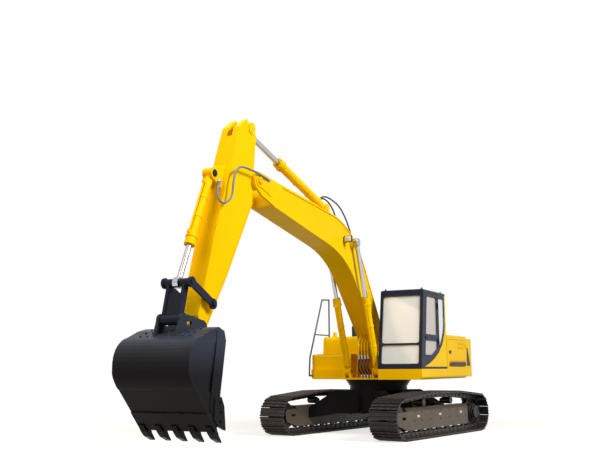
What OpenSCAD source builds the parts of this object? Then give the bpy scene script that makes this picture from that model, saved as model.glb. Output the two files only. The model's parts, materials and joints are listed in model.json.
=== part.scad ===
// Crawler excavator: tracked undercarriage, swinging house with cab, boom, arm and bucket.
// +X points forward along the house, +Y to the cab side, +Z up. The origin is the swing axis on the ground.

/* [Undercarriage] */
// Angle of the tracks about the swing axis, as parked
track_yaw = -8; // [-20:1:20]
// Distance between the middles of the two tracks
track_gauge = 2590; // [2400:10:2800]
// Distance between the sprocket and idler axles
wheelbase = 3390; // [3200:10:3600]
// Height of the track over the sprocket
track_h = 800; // [760:5:860]
// Width of a track shoe
shoe_w = 600; // [500:10:700]
// Number of shoes in one track
shoe_count = 49; // [40:1:56]
// Height of a grouser bar
grouser_h = 26; // [20:1:32]
// Thickness of a shoe plate
shoe_t = 14; // [10:1:18]
// Height of a track link under its shoe
link_h = 90; // [80:1:100]
// Height of the top run over the upper rollers
top_run_h = 885; // [870:1:910]
// Number of lower rollers in one track
roller_count = 7; // [5:1:8]
// Radius of a lower roller
roller_r = 88; // [75:1:95]
// Outer radius of the swing bearing
bearing_r = 690; // [670:5:740]
// Height of the swing bearing's lower face
bearing_z = 1000; // [980:5:1040]

/* [House] */
// Height of the underside of the revolving frame
deck_z = 1122; // [1112:1:1150]
// Height of the deck skirts
skirt_h = 208; // [190:1:230]
// Width of the house
house_w = 2714; // [2650:2:2780]
// Thickness of frame and bracket plates
plate_t = 30; // [20:1:36]
// Width of the bay between the cab and the tool box
bay_w = 864; // [856:2:880]
// Length of the counterweight from its front face to the middle of its tail
weight_l = 760; // [720:5:800]
// Tail radius at the middle of the counterweight
tail_r = 2750; // [2700:5:2800]
// Depth of the tail's bow from its corners to its middle
tail_sag = 280; // [240:5:320]
// Height of the engine hood above the ground
hood_z = 2050; // [2030:1:2080]
// Thickness of a body panel
panel_t = 28; // [24:1:34]

/* [Cab] */
// Height of the cab
cab_h = 1604; // [1560:2:1650]
// Lower front edge of the cab
cab_front_low = 1040; // [1020:2:1060]
// Upper front edge of the cab
cab_front_top = 800; // [780:2:830]
// Distance of the cab's rear wall behind the swing axis
cab_rear_x = 570; // [540:2:590]
// Thickness of a cab wall
cab_wall = 45; // [38:1:52]
// Distance of the door's hinge pillar behind the swing axis
door_pillar_x = 30; // [10:2:60]
// Gap around doors and lids
door_gap = 6; // [5:0.5:8]
// Thickness of a window pane
glass_t = 6; // [5:0.5:8]

/* [Boom] */
// Boom foot pin ahead of the swing axis
foot_x = 238; // [220:1:260]
// Height of the boom foot pin
foot_z = 1874; // [1860:1:1890]
// Length of the boom between its end pins
boom_len = 5694; // [5600:2:5780]
// Angle of the boom's pin line, as parked
boom_angle = 26; // [24:0.5:28]
// Width of the boom
boom_w = 440; // [420:2:450]
// Thickness of boom and arm plates
web_t = 20; // [14:1:26]
// Boom cylinder pin ahead of the swing axis
boom_cyl_x = 824; // [810:1:840]
// Height of the boom cylinder pin on the frame
boom_cyl_z = 1285; // [1278:1:1300]
// Distance between the middles of the boom cylinders
boom_cyl_gap = 650; // [646:1:654]

/* [Arm] */
// Length of the arm between its end pins
arm_len = 2892; // [2820:2:2960]
// Angle of the arm's pin line, as parked
arm_angle = -58; // [-60:0.5:-56]
// Width of the arm
arm_w = 320; // [310:2:328]

/* [Bucket] */
// Distance from the bucket pin to the tooth tips
bucket_reach = 1556; // [1500:2:1600]
// Width of the bucket
bucket_w = 1270; // [1200:5:1320]
// Thickness of the bucket's wrapper plate
wrapper_t = 26; // [20:1:34]
// Number of teeth
tooth_count = 5; // [4:1:6]
// Length of the idler links between pins
idler_len = 604; // [594:1:612]
// Length of the bucket link between pins
link_len = 546; // [536:1:556]

/* [Cylinders] */
// Outer radius of a boom cylinder's barrel
boom_barrel_r = 68; // [60:1:72]
// Radius of a boom cylinder's rod
boom_rod_r = 43; // [38:1:48]
// Length of a boom cylinder's barrel from its pin
boom_barrel_len = 1570; // [1550:2:1590]
// Length of a boom cylinder's rod to its eye
boom_rod_len = 1680; // [1660:2:1690]
// Outer radius of the arm cylinder's barrel
arm_barrel_r = 78; // [70:1:84]
// Radius of the arm cylinder's rod
arm_rod_r = 50; // [44:1:54]
// Length of the arm cylinder's barrel from its pin
arm_barrel_len = 1900; // [1880:2:1920]
// Length of the arm cylinder's rod to its eye
arm_rod_len = 1930; // [1920:2:1950]
// Outer radius of the bucket cylinder's barrel
bucket_barrel_r = 68; // [60:1:74]
// Radius of the bucket cylinder's rod
bucket_rod_r = 42; // [38:1:46]
// Length of the bucket cylinder's barrel from its pin
bucket_barrel_len = 1270; // [1260:2:1280]
// Length of the bucket cylinder's rod to its eye
bucket_rod_len = 1340; // [1320:2:1350]

/* [Hidden] */
$fn = 48;

// Running clearance of pins and rods, and overrun of cuts
clear = 0.3;
over = 10;
half = 0.5;

// Colours
paint = [0.98, 0.76, 0.02];
slate = [0.16, 0.19, 0.26];
dark = [0.15, 0.14, 0.13];
steel = [0.75, 0.76, 0.78];
glass = [0.72, 0.76, 0.78, 0.45];

// Points in the side plane
function turn(p, a) = [p[0] * cos(a) - p[1] * sin(a), p[0] * sin(a) + p[1] * cos(a)];
function place(o, a, p) = o + turn(p, a);
function polar(r, a) = [r * cos(a), r * sin(a)];
function mix(a, b, t) = a + (b - a) * t;
function curve(a, b, c, n) = [for (i = [0 : n]) mix(mix(a, b, i / n), mix(b, c, i / n), i / n)];
function arc(o, r, a0, a1, n) = [for (i = [0 : n]) o + polar(r, mix(a0, a1, i / n))];
function flip(list) = [for (i = [len(list) - 1 : -1 : 0]) list[i]];
function lift(list, d) = [for (p = list) p + [0, d]];
function tail_of(list) = [for (i = [1 : len(list) - 1]) list[i]];
// Outlines with their corners rounded, each by its own radius
corner_n = 5;
function corner_arc(a, b, c, r) = r == 0 ? [b]
    : let (u = unit(a - b), v = unit(c - b), d = r / tan(acos(u * v) * half))
        curve(b + u * d, b, b + v * d, corner_n);
function fillets(p, r) = [for (i = [0 : len(p) - 1])
    each corner_arc(p[(i + len(p) - 1) % len(p)], p[i], p[(i + 1) % len(p)], r[i])];
function fillet(p, r) = fillets(p, [for (q = p) r]);

// A plate in the side plane, from y_low and thick towards +Y
module slab(y_low, thick) {
    translate([0, y_low + thick, 0])
        rotate([90, 0, 0])
            linear_extrude(thick) children();
}

// A plate across the middle plane
module middle_slab(width) {
    slab(-width * half, width) children();
}

// A plate across the length, from one place along X to another
module across(x0, x1) {
    translate([x0, 0, 0])
        rotate([90, 0, 90])
            linear_extrude(x1 - x0) children();
}

// A piece and its mirror image on the other side
module both_sides() {
    children();
    mirror([0, 1, 0]) children();
}

// A round bar along Y about a point of the side plane
module bar(p, r, y_low, length) {
    translate([p[0], y_low + length, p[1]])
        rotate([90, 0, 0])
            cylinder(r = r, h = length);
}

module middle_bar(p, r, length) {
    bar(p, r, -length * half, length);
}

// Children drawn along +X, set at a point of the side plane and turned up by an angle
module along(o, a) {
    translate([o[0], 0, o[1]])
        rotate([0, -a, 0]) children();
}

// Track loop: circles that the inner face of the shoes runs round, in running order
wheel_x = wheelbase * half;
wheel_z = track_h * half;
loop_r = track_h * half - grouser_h - shoe_t;
upper_roller_r = 75;
upper_roller_share = 0.18;
upper_roller_x = wheelbase * upper_roller_share;
upper_loop_r = upper_roller_r + clear + link_h;
upper_roller_z = top_run_h - grouser_h - shoe_t - upper_loop_r;
loop_circles = [[wheel_x, wheel_z, loop_r], [upper_roller_x, upper_roller_z, upper_loop_r],
    [-upper_roller_x, upper_roller_z, upper_loop_r], [-wheel_x, wheel_z, loop_r]];
loop_n = len(loop_circles);
function loop_o(i) = [loop_circles[i % loop_n][0], loop_circles[i % loop_n][1]];
function loop_rad(i) = loop_circles[i % loop_n][2];
function loop_step(i) = loop_o(i + 1) - loop_o(i);
function loop_normal(i) = atan2(loop_step(i)[1], loop_step(i)[0])
    - acos((loop_rad(i) - loop_rad(i + 1)) / norm(loop_step(i)));
function loop_turn(i) = (loop_normal(i) - loop_normal(i + loop_n - 1) + 720) % 360;
function loop_arc_l(i) = loop_rad(i) * loop_turn(i) * PI / 180;
function loop_line_l(i) = sqrt(pow(norm(loop_step(i)), 2) - pow(loop_rad(i) - loop_rad(i + 1), 2));
function loop_sum(i) = i == 0 ? 0 : loop_sum(i - 1) + loop_arc_l(i - 1) + loop_line_l(i - 1);
loop_len = loop_sum(loop_n);
shoe_pitch = loop_len / shoe_count;
// Point of the loop at a running length inside span i
function span_point(i, s) = s < loop_arc_l(i)
    ? loop_o(i) + polar(loop_rad(i), loop_normal(i + loop_n - 1) + loop_turn(i) * s / loop_arc_l(i))
    : loop_o(i) + polar(loop_rad(i), loop_normal(i)) + (s - loop_arc_l(i))
        * [-sin(loop_normal(i)), cos(loop_normal(i))];
function loop_point(s) = [for (i = [0 : loop_n - 1])
    if (s >= loop_sum(i) && s < loop_sum(i + 1)) span_point(i, s - loop_sum(i))][0];
loop_points = [for (k = [0 : shoe_count - 1]) loop_point(k * shoe_pitch)];
function shoe_dir(k) = (loop_points[(k + 1) % shoe_count] - loop_points[k])
    / norm(loop_points[(k + 1) % shoe_count] - loop_points[k]);
function shoe_out(k) = [shoe_dir(k)[1], -shoe_dir(k)[0]];
grouser_shares = [0.09, 0.5, 0.91];
grouser_base_share = 0.055;
function shoe_edge(k, share, h) = mix(loop_points[k], loop_points[(k + 1) % shoe_count], share)
    + shoe_out(k) * h;
shoe_outline = [for (k = [0 : shoe_count - 1]) for (g = grouser_shares) for (e = [-1, 0, 1])
    shoe_edge(k, g + e * grouser_base_share, shoe_t + (e == 0 ? grouser_h : 0))];
function joint_out(k) = let (d = shoe_out(k) + shoe_out((k + shoe_count - 1) % shoe_count)) d / norm(d);
function inner_loop(h) = [for (k = [0 : shoe_count - 1]) loop_points[k] - joint_out(k) * h];

module ring_2d(outer, inner) {
    polygon(concat(outer, inner), [[for (i = [0 : len(outer) - 1]) i],
        [for (i = [0 : len(inner) - 1]) len(outer) + i]]);
}

// Undercarriage values
rail_y = 78;
rail_t = 45;
frame_half_w = 150;
fork_y = 115;
frame_top_z = 590;
frame_low_z = 330;
rail_low_z = wheel_z - loop_r + link_h + roller_r;
fork_low_z = rail_low_z - roller_r * half;
sprocket_hub_r = 180;
sprocket_r = loop_r - shoe_t;
sprocket_root_share = 0.86;
sprocket_teeth = 21;
sprocket_half_w = 38;
chord_share = cos(shoe_pitch / loop_r * 90 / PI);
idler_gap = 2;
idler_r = (loop_r - link_h) * chord_share - idler_gap;
roller_sag = 6;
idler_flange = 24;
axle_r = 42;
shaft_r = 32;
tower_r = 610;
frame_y = track_gauge * half;
frame_inner_y = frame_y - frame_half_w;
tow_bore_r = 35;
tow_eye_r = 75;
frame_front_x = wheel_x + axle_r * 2;
frame_rear_x = wheel_x - loop_r - axle_r;
leg_top_z = 900;
leg_low_z = 430;
leg_root_x = 520;
leg_end_x = 980;
leg_w = 330;

// Everything of the undercarriage is turned about the swing axis
module parked() {
    rotate([0, 0, track_yaw]) children();
}

module at_track(side) {
    translate([0, side * frame_y, 0]) children();
}

module on_tracks() {
    parked()
        both_sides()
            at_track(1) children();
}

module track_loop(side) {
    color(dark) parked() at_track(side) {
        middle_slab(shoe_w) ring_2d(shoe_outline, inner_loop(0));
        both_sides()
            slab(rail_y - rail_t * half, rail_t) ring_2d(inner_loop(0), inner_loop(link_h));
    }
}

module track_left() {
    track_loop(1);
}

module track_right() {
    track_loop(-1);
}

beam_chamfer = 60;
bracket_l = 90;
beam_front_x = wheel_x - idler_r - axle_r;
slot_l = 120;
slot_r = 26;
slot_half = 45;
panel_recess = 12;
panel_margin = 55;

module fork_plate_2d() {
    difference() {
        union() {
            polygon([[-frame_rear_x, fork_low_z], [beam_front_x, fork_low_z],
                [frame_front_x - axle_r, wheel_z - axle_r * 3], [frame_front_x, wheel_z - axle_r],
                [frame_front_x, wheel_z + axle_r], [frame_front_x - axle_r, wheel_z + axle_r * 3],
                [beam_front_x, frame_top_z - beam_chamfer], [-frame_rear_x, frame_top_z - beam_chamfer]]);
        }
        for (e = [-1, 1])
            translate([beam_front_x + slot_l + e * slot_half, wheel_z]) circle(r = slot_r);
        translate([beam_front_x + slot_l - slot_half, wheel_z - slot_r]) square(2 * [slot_half, slot_r]);
    }
}

module beam_2d() {
    polygon([[frame_low_z, -frame_half_w], [frame_top_z - beam_chamfer, -frame_half_w],
        [frame_top_z, -frame_half_w + beam_chamfer], [frame_top_z, frame_half_w - beam_chamfer],
        [frame_top_z - beam_chamfer, frame_half_w], [frame_low_z, frame_half_w]]);
}

module track_frame(side) {
    color(dark) parked() at_track(side) mirror([0, side < 0 ? 1 : 0, 0]) {
        difference() {
            translate([-frame_rear_x, 0, 0])
                rotate([0, -90, 0]) mirror([0, 0, 1])
                    linear_extrude(frame_rear_x + beam_front_x) beam_2d();
            translate([-frame_rear_x + plate_t, -frame_half_w + plate_t, frame_low_z + plate_t])
                cube([frame_rear_x + beam_front_x - 2 * plate_t, 2 * (frame_half_w - plate_t),
                    frame_top_z - beam_chamfer - frame_low_z - plate_t]);
            translate([-frame_rear_x + panel_margin, frame_half_w - panel_recess, frame_low_z + panel_margin])
                cube([frame_rear_x + beam_front_x - 2 * panel_margin, panel_recess + over,
                    frame_top_z - beam_chamfer - frame_low_z - 2 * panel_margin]);
        }
        both_sides()
            slab(fork_y, frame_half_w - fork_y) fork_plate_2d();
        slab(-frame_half_w, frame_half_w - fork_y) {
            translate([-wheel_x, wheel_z]) circle(r = sprocket_hub_r);
            translate([-wheel_x, wheel_z - sprocket_hub_r])
                square([wheel_x - frame_rear_x + over, 2 * sprocket_hub_r]);
            for (x = [-upper_roller_x, upper_roller_x]) {
                translate([x, upper_roller_z]) circle(r = bracket_l * half);
                translate([x - bracket_l * half, frame_low_z])
                    square([bracket_l, upper_roller_z - frame_low_z]);
            }
        }
    }
}

module track_frame_left() {
    track_frame(1);
}

module track_frame_right() {
    track_frame(-1);
}

tooth_shares = [[0, 1], [0.16, 1], [0.36, 0], [0.8, 0]];
sprocket_outline = [for (k = [0 : sprocket_teeth - 1]) for (t = tooth_shares)
    polar(sprocket_r * (t[1] > 0 ? 1 : sprocket_root_share), (k + t[0]) * 360 / sprocket_teeth)];
drive_cover_r = 132;
drive_w = 250;
cover_rim_share = 1.16;

module sprockets() {
    color(dark) on_tracks() {
        translate([-wheel_x, 0, wheel_z]) {
            middle_slab(2 * sprocket_half_w) polygon(sprocket_outline);
            bar([0, 0], sprocket_hub_r, -fork_y, fork_y + sprocket_half_w + axle_r);
            bar([0, 0], drive_cover_r, 0, drive_w * half + axle_r);
            bar([0, 0], drive_cover_r * cover_rim_share, 0, drive_w * half);
        }
    }
}

module idlers() {
    color(dark) on_tracks() {
        middle_bar([wheel_x, wheel_z], idler_r, 2 * (rail_y + rail_t * half));
        middle_bar([wheel_x, wheel_z], idler_r + idler_flange, 2 * (rail_y - rail_t * half - clear));
        middle_bar([wheel_x, wheel_z], axle_r * 2, 2 * fork_y);
    }
}

roller_span_share = 0.86;
function roller_x(i) = (i - (roller_count - 1) * half) * (frame_rear_x + beam_front_x) * roller_span_share
    / (roller_count - 1);

module lower_rollers() {
    color(dark) on_tracks()
        for (i = [0 : roller_count - 1])
            translate([roller_x(i), 0, rail_low_z + clear]) {
                both_sides()
                    bar([0, 0], roller_r, rail_y - rail_t * half, rail_t);
                middle_bar([0, 0], roller_r - idler_flange, 2 * rail_y);
                middle_bar([0, 0], shaft_r, 2 * fork_y);
            }
}

module upper_rollers() {
    color(dark) on_tracks()
        for (x = [-upper_roller_x, upper_roller_x]) {
            middle_bar([x, upper_roller_z], upper_roller_r - roller_sag, 2 * (rail_y + rail_t * half));
            bar([x, upper_roller_z], shaft_r, -fork_y, fork_y);
        }
}

module center_legs() {
    intersection() {
        for (m = [0, 1])
            mirror([m, 0, 0])
                both_sides()
                    translate([0, 0, frame_low_z])
                        linear_extrude(leg_top_z - frame_low_z)
                            polygon([[0, 0], [leg_root_x, 0], [leg_end_x, frame_inner_y],
                                [leg_end_x - leg_w, frame_inner_y], [0, leg_root_x]]);
        translate([-leg_end_x - over, 0, 0])
            rotate([90, 0, 90])
                linear_extrude(2 * (leg_end_x + over))
                    polygon([[-frame_inner_y, frame_low_z], [-tower_r, leg_low_z], [tower_r, leg_low_z],
                        [frame_inner_y, frame_low_z], [frame_inner_y, frame_top_z - beam_chamfer],
                        [tower_r, leg_top_z], [-tower_r, leg_top_z],
                        [-frame_inner_y, frame_top_z - beam_chamfer]]);
    }
}

module center_frame() {
    color(dark) parked() {
        difference() {
            translate([0, 0, leg_low_z])
                cylinder(r = tower_r, h = bearing_z - leg_low_z);
            translate([0, 0, leg_low_z + plate_t])
                cylinder(r = tower_r - plate_t, h = bearing_z - leg_low_z - 2 * plate_t);
        }
        difference() {
            center_legs();
            translate([0, 0, leg_low_z])
                cylinder(r = tower_r - plate_t, h = bearing_z - leg_low_z);
        }
        for (m = [0, 1])
            mirror([m, 0, 0])
                translate([tower_r, 0, leg_low_z])
                    difference() {
                        union() {
                            translate([-over, -tow_eye_r, 0])
                                cube([tow_eye_r + over, 2 * tow_eye_r, plate_t]);
                            translate([tow_eye_r, 0, 0]) cylinder(r = tow_eye_r, h = plate_t);
                        }
                        translate([tow_eye_r, 0, -over]) cylinder(r = tow_bore_r, h = plate_t + 2 * over);
                    }
    }
}

bearing_step = 26;
bearing_rings = 3;
bearing_h = deck_z - clear - bearing_z;

module swing_bearing() {
    color(slate)
        for (i = [0 : bearing_rings - 1])
            translate([0, 0, bearing_z + bearing_h * i / bearing_rings])
                cylinder(r = bearing_r - bearing_step * (bearing_rings - 1 - i), h = bearing_h / bearing_rings);
}

// Hinges: the pin runs along +Z, the fixed leaf lies towards -X and the moving leaf towards +X
hinge_out = 13;
hinge_r = 12;
hinge_pin_r = 6;
hinge_h = 60;
leaf_t = 6;
leaf_l = 55;

module hinge_leaf() {
    translate([0, -hinge_out, 0])
        cube([leaf_l, leaf_t, hinge_h]);
    cylinder(r = hinge_r, h = hinge_h);
}

module fixed_hinge() {
    translate([0, 0, -hinge_h - clear])
        mirror([1, 0, 0]) hinge_leaf();
    translate([0, 0, -hinge_h - clear])
        cylinder(r = hinge_pin_r, h = 2 * hinge_h + clear);
}

module moving_hinge() {
    difference() {
        hinge_leaf();
        translate([0, 0, -over]) cylinder(r = hinge_pin_r + clear, h = hinge_h + 2 * over);
    }
}

// House values
side_y = house_w * half;
weight_x = tail_r - weight_l;
tail_corner_x = tail_r - tail_sag;
deck_top = deck_z + skirt_h;
bay_y = bay_w * half;
foot = [foot_x, foot_z];
cyl_foot = [boom_cyl_x, boom_cyl_z];
cyl_y = boom_cyl_gap * half;
eye_w = 90;
eye_gap = 4;
foot_pin_r = 50;
foot_boss_r = 165;
boom_half_w = boom_w * half;
bracket_y = boom_half_w + 2 * eye_gap;
cyl_pin_r = 42;
cyl_boss_r = 84;
lug_in_y = cyl_y - eye_w * half - eye_gap - plate_t;
lug_out_y = cyl_y + eye_w * half + eye_gap;
nose_x = cyl_foot[0] + cyl_boss_r;
right_front_x = 500;
web_rear_x = weight_x;

// Plan of the revolving frame
skirt_r = 70;
skirt_in_y = side_y - skirt_r;
deck_plan = [[cab_front_low, skirt_in_y], [-weight_x, skirt_in_y], [-weight_x, -skirt_in_y],
    [right_front_x, -skirt_in_y],
    [right_front_x, -bay_y], [nose_x, -bay_y], [nose_x, bay_y], [cab_front_low, bay_y]];

// Cross-section of a skirt with its round lower edge, and of its front return
skirt_o = [skirt_in_y, deck_z + skirt_r];
skirt_bow = arc(skirt_o, skirt_r, 0, -90, 6);

module skirt_2d() {
    polygon(concat([[side_y - panel_t, deck_top], [side_y, deck_top]], skirt_bow,
        arc(skirt_o, skirt_r - panel_t, -90, 0, 6)));
}

module return_2d() {
    polygon(concat([[bay_y, deck_top], [side_y, deck_top]], skirt_bow, [[bay_y, deck_z]]));
}

module foot_bracket_2d() {
    difference() {
        union() {
            translate(foot) circle(r = foot_boss_r);
            polygon([[-web_rear_x, deck_z + plate_t], [foot_x + foot_boss_r * 2, deck_z + plate_t],
                [foot_x + foot_boss_r * 2, deck_top], [foot_x + foot_boss_r, foot_z],
                [foot_x - foot_boss_r, foot_z], [foot_x - foot_boss_r * 3, deck_top + skirt_h],
                [-cab_rear_x, deck_top], [-web_rear_x, deck_top]]);
        }
        translate(foot) circle(r = foot_pin_r + clear);
    }
}

module cyl_lug_2d() {
    difference() {
        union() {
            translate(cyl_foot) circle(r = cyl_boss_r);
            polygon([[cyl_foot[0] - cyl_boss_r * 2, deck_z + plate_t], [nose_x, deck_z + plate_t],
                [nose_x, cyl_foot[1]], [cyl_foot[0] - cyl_boss_r, cyl_foot[1]]]);
        }
        translate(cyl_foot) circle(r = cyl_pin_r + clear);
    }
}

module main_frame() {
    color(paint) {
        translate([0, 0, deck_z])
            linear_extrude(plate_t) polygon(deck_plan);
        both_sides() {
            slab(bracket_y, plate_t) foot_bracket_2d();
            slab(lug_out_y, plate_t) cyl_lug_2d();
            slab(lug_in_y, plate_t) cyl_lug_2d();
        }
        // Left skirt, its front return and the deck under the cab
        across(-weight_x, cab_front_low) skirt_2d();
        across(cab_front_low - panel_t, cab_front_low) return_2d();
        translate([-cab_rear_x, bay_y, deck_top - plate_t])
            cube([cab_rear_x + cab_front_low, side_y - bay_y, plate_t]);
        translate([-cab_rear_x, bay_y, deck_z])
            cube([cab_rear_x + cab_front_low, panel_t, skirt_h]);
        // Right skirt, its front return and the deck under the tanks
        mirror([0, 1, 0]) {
            across(-weight_x, right_front_x) skirt_2d();
            across(right_front_x - panel_t, right_front_x) return_2d();
        }
        translate([-tank_rear_x, -side_y, deck_top - plate_t])
            cube([tank_rear_x + right_front_x, side_y - bay_y, plate_t]);
        translate([-tank_rear_x, -bay_y - panel_t, deck_z])
            cube([tank_rear_x + right_front_x, panel_t, skirt_h]);
    }
}

pin_head_t = 14;

module headed_pin(p, r, length) {
    middle_bar(p, r, length);
    both_sides()
        bar(p, r + pin_head_t, length * half, pin_head_t);
}

module house_pins() {
    color(steel) {
        headed_pin(foot, foot_pin_r, 2 * (bracket_y + plate_t));
        both_sides() {
            bar(cyl_foot, cyl_pin_r, lug_in_y, lug_out_y + plate_t - lug_in_y);
        }
    }
}

// Counterweight: plan with a round tail, cut to a side outline
tail_arc_r = (side_y * side_y + tail_sag * tail_sag) / (2 * tail_sag);
tail_a = asin(side_y / tail_arc_r);
weight_low_z = deck_z + plate_t;
weight_drop = 40;
weight_top_z = hood_z - weight_drop;
weight_chamfer = 160;
weight_edge = 40;
weight_rs = [0, 0, 60, 90, 120, 90];
tail_corner_r = 120;
tail_turn = tail_a - 2;
function tail_pt(a) = [tail_arc_r - tail_r - tail_arc_r * cos(a), tail_arc_r * sin(a)];
tail_corner = curve([-tail_corner_x + tail_corner_r, side_y], [-tail_corner_x, side_y], tail_pt(tail_turn), 5);
lift_bore_r = 30;
lift_eye_r = 70;
lift_rise = 62;
lift_eye_t = 40;
lift_y_share = 0.45;
lift_in = 260;
lift_x = weight_x + lift_in;

module counterweight() {
    color(paint) {
        intersection() {
            translate([0, 0, weight_low_z])
                linear_extrude(weight_top_z - weight_low_z)
                    polygon(concat([[-weight_x, -side_y], [-weight_x, side_y]], tail_corner,
                        [for (i = [1 : 19]) tail_pt(mix(tail_turn, -tail_turn, i / 20))],
                        [for (p = flip(tail_corner)) [p[0], -p[1]]]));
            middle_slab(2 * side_y)
                polygon(fillets([[-weight_x, weight_low_z], [-weight_x, weight_top_z],
                    [-tail_corner_x, weight_top_z], [-tail_r, weight_top_z - weight_edge * 2],
                    [-tail_r, weight_low_z + weight_chamfer], [-tail_corner_x, weight_low_z]], weight_rs));
        }
        both_sides()
            slab(side_y * lift_y_share, lift_eye_t)
                difference() {
                    union() {
                        translate([-lift_x, weight_top_z + lift_rise]) circle(r = lift_eye_r);
                        translate([-lift_x - lift_eye_r, weight_top_z - over])
                            square([2 * lift_eye_r, lift_rise + over]);
                    }
                    translate([-lift_x, weight_top_z + lift_rise]) circle(r = lift_bore_r);
                }
    }
}

// Engine bay
housing_gap = 30;
housing_front_x = cab_rear_x + housing_gap;
tank_lap = 90;
tank_rear_x = housing_front_x + tank_lap;
engine_in = 210;
engine_size = [550, 1140, 480];
engine_shift = -50;
engine_rise = 90;
engine_x = [-weight_x + engine_in, -weight_x + engine_in + engine_size[0]];
engine_y = [engine_shift - engine_size[1] * half, engine_shift + engine_size[1] * half];
engine_z = [deck_top + engine_rise, deck_top + engine_rise + engine_size[2]];
engine_foot_r = 55;
engine_foot_in = 90;

module engine() {
    color(dark) {
        translate([engine_x[0], engine_y[0], engine_z[0]])
            cube([engine_x[1] - engine_x[0], engine_y[1] - engine_y[0], engine_z[1] - engine_z[0]]);
        for (x = [engine_x[0] + engine_foot_in, engine_x[1] - engine_foot_in])
            for (y = [engine_y[0] + engine_foot_in, engine_y[1] - engine_foot_in])
                translate([x, y, deck_z + plate_t])
                    cylinder(r = engine_foot_r, h = engine_z[0] - deck_z - plate_t);
    }
}

door_in = 90;
right_door_in = 60;
side_door_low = 50;
side_door_x = [-weight_x + door_in, -housing_front_x - door_in];
right_door_x = [-weight_x + door_in, -tank_rear_x - right_door_in];
side_door_z = [deck_top + side_door_low, hood_z - door_in];
hinge_shares = [0.2, 0.8];
function hinge_zs(z) = [for (h = hinge_shares) mix(z[0], z[1], h)];

module at_side_hinges(x) {
    for (z = hinge_zs(side_door_z))
        translate([x[0], side_y + hinge_out, z]) children();
}

module at_hood_hinges() {
    for (y = hinge_zs([-hood_y, hood_y]))
        translate([hood_x[1], y, hood_z + hinge_out])
            rotate([90, 0, 180]) children();
}
hood_in = 60;
hood_l = 770;
hood_side_in = 307;
hood_x = [-weight_x + hood_in, -weight_x + hood_in + hood_l];
hood_y = side_y - hood_side_in;

module panel_opening(x, z) {
    translate([x[0], 0, z[0]])
        cube([x[1] - x[0], panel_t + 2 * over, z[1] - z[0]]);
}

module engine_housing() {
    color(paint) {
        // Left wall with its door opening
        difference() {
            translate([-weight_x, side_y - panel_t, deck_top])
                cube([weight_x - housing_front_x, panel_t, hood_z - deck_top]);
            translate([0, side_y - panel_t - over, 0]) panel_opening(side_door_x, side_door_z);
        }
        // Right wall with its door opening
        difference() {
            translate([-weight_x, -side_y, deck_top])
                cube([weight_x - tank_rear_x, panel_t, hood_z - deck_top]);
            translate([0, -side_y - over, 0]) panel_opening(right_door_x, side_door_z);
        }
        // Front wall behind the cab and the boom bay
        translate([-housing_front_x - panel_t, -bay_y, deck_top])
            cube([panel_t, bay_y + side_y, hood_z - deck_top]);
        // Top with the hood opening
        difference() {
            translate([-weight_x, -side_y, hood_z - panel_t])
                cube([weight_x - housing_front_x, house_w, panel_t]);
            translate([hood_x[0], -hood_y, hood_z - panel_t - over])
                cube([hood_x[1] - hood_x[0], 2 * hood_y, panel_t + 2 * over]);
            translate([-tank_rear_x, -side_y - over, hood_z - panel_t - over])
                cube([tank_rear_x, side_y - bay_y + over, panel_t + 2 * over]);
        }
        at_side_hinges(side_door_x) fixed_hinge();
        mirror([0, 1, 0]) at_side_hinges(right_door_x) fixed_hinge();
        at_hood_hinges() fixed_hinge();
    }
}

press_in = 90;
press_h = 34;
press_slope = 46;
function pressed(a, b) = [[a, hood_z - panel_t * half], [b, hood_z - panel_t * half],
    [b - press_slope, hood_z + press_h], [a + press_slope, hood_z + press_h]];

module hood() {
    color(paint) {
        translate([hood_x[0] + door_gap, -hood_y + door_gap, hood_z - panel_t])
            cube([hood_x[1] - hood_x[0] - 2 * door_gap, 2 * (hood_y - door_gap), panel_t]);
        // Pressed top
        intersection() {
            middle_slab(2 * hood_y) polygon(pressed(hood_x[0] + press_in, hood_x[1] - press_in));
            across(hood_x[0], hood_x[1]) polygon(pressed(-hood_y + press_in, hood_y - press_in));
        }
        at_hood_hinges() moving_hinge();
    }
}

// Louvre slots in the side doors: count, size, pitch and distance from the door's rear and top edges
louvre_n = 11;
louvre_rows = 2;
louvre_size = [18, 48];
louvre_pitch = [42, 92];
louvre_in = [110, 110];

module side_leaf(x, y) {
    difference() {
        translate([x[0] + door_gap, y, side_door_z[0] + door_gap])
            cube([x[1] - x[0] - 2 * door_gap, panel_t, side_door_z[1] - side_door_z[0] - 2 * door_gap]);
        for (i = [0 : louvre_n - 1])
            for (j = [0 : louvre_rows - 1])
                translate([x[0] + louvre_in[0] + i * louvre_pitch[0], y - over,
                    side_door_z[1] - louvre_in[1] - j * louvre_pitch[1]])
                    cube([louvre_size[0], panel_t + 2 * over, louvre_size[1]]);
    }
}

module left_side_door() {
    color(paint) {
        side_leaf(side_door_x, side_y - panel_t);
        at_side_hinges(side_door_x) moving_hinge();
    }
}

module right_side_door() {
    color(paint) {
        side_leaf(right_door_x, -side_y);
        mirror([0, 1, 0]) at_side_hinges(right_door_x) moving_hinge();
    }
}

// Tank, tool box and handrail on the right
tank_front_x = -50;
tank_edge_r = 110;
box_front_x = 450;
box_top_z = 1650;
box_edge_r = 60;
cap_r = 43;
cap_h = 105;
cap_flange = 16;
tank_rake = 70;
cap_in = 180;

function rounded_box(x0, x1, z0, z1, r, rake) = fillets([[x0, z0], [x1, z0], [x1 - rake, z1], [x0, z1]],
    [0, 0, r, 0]);

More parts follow.
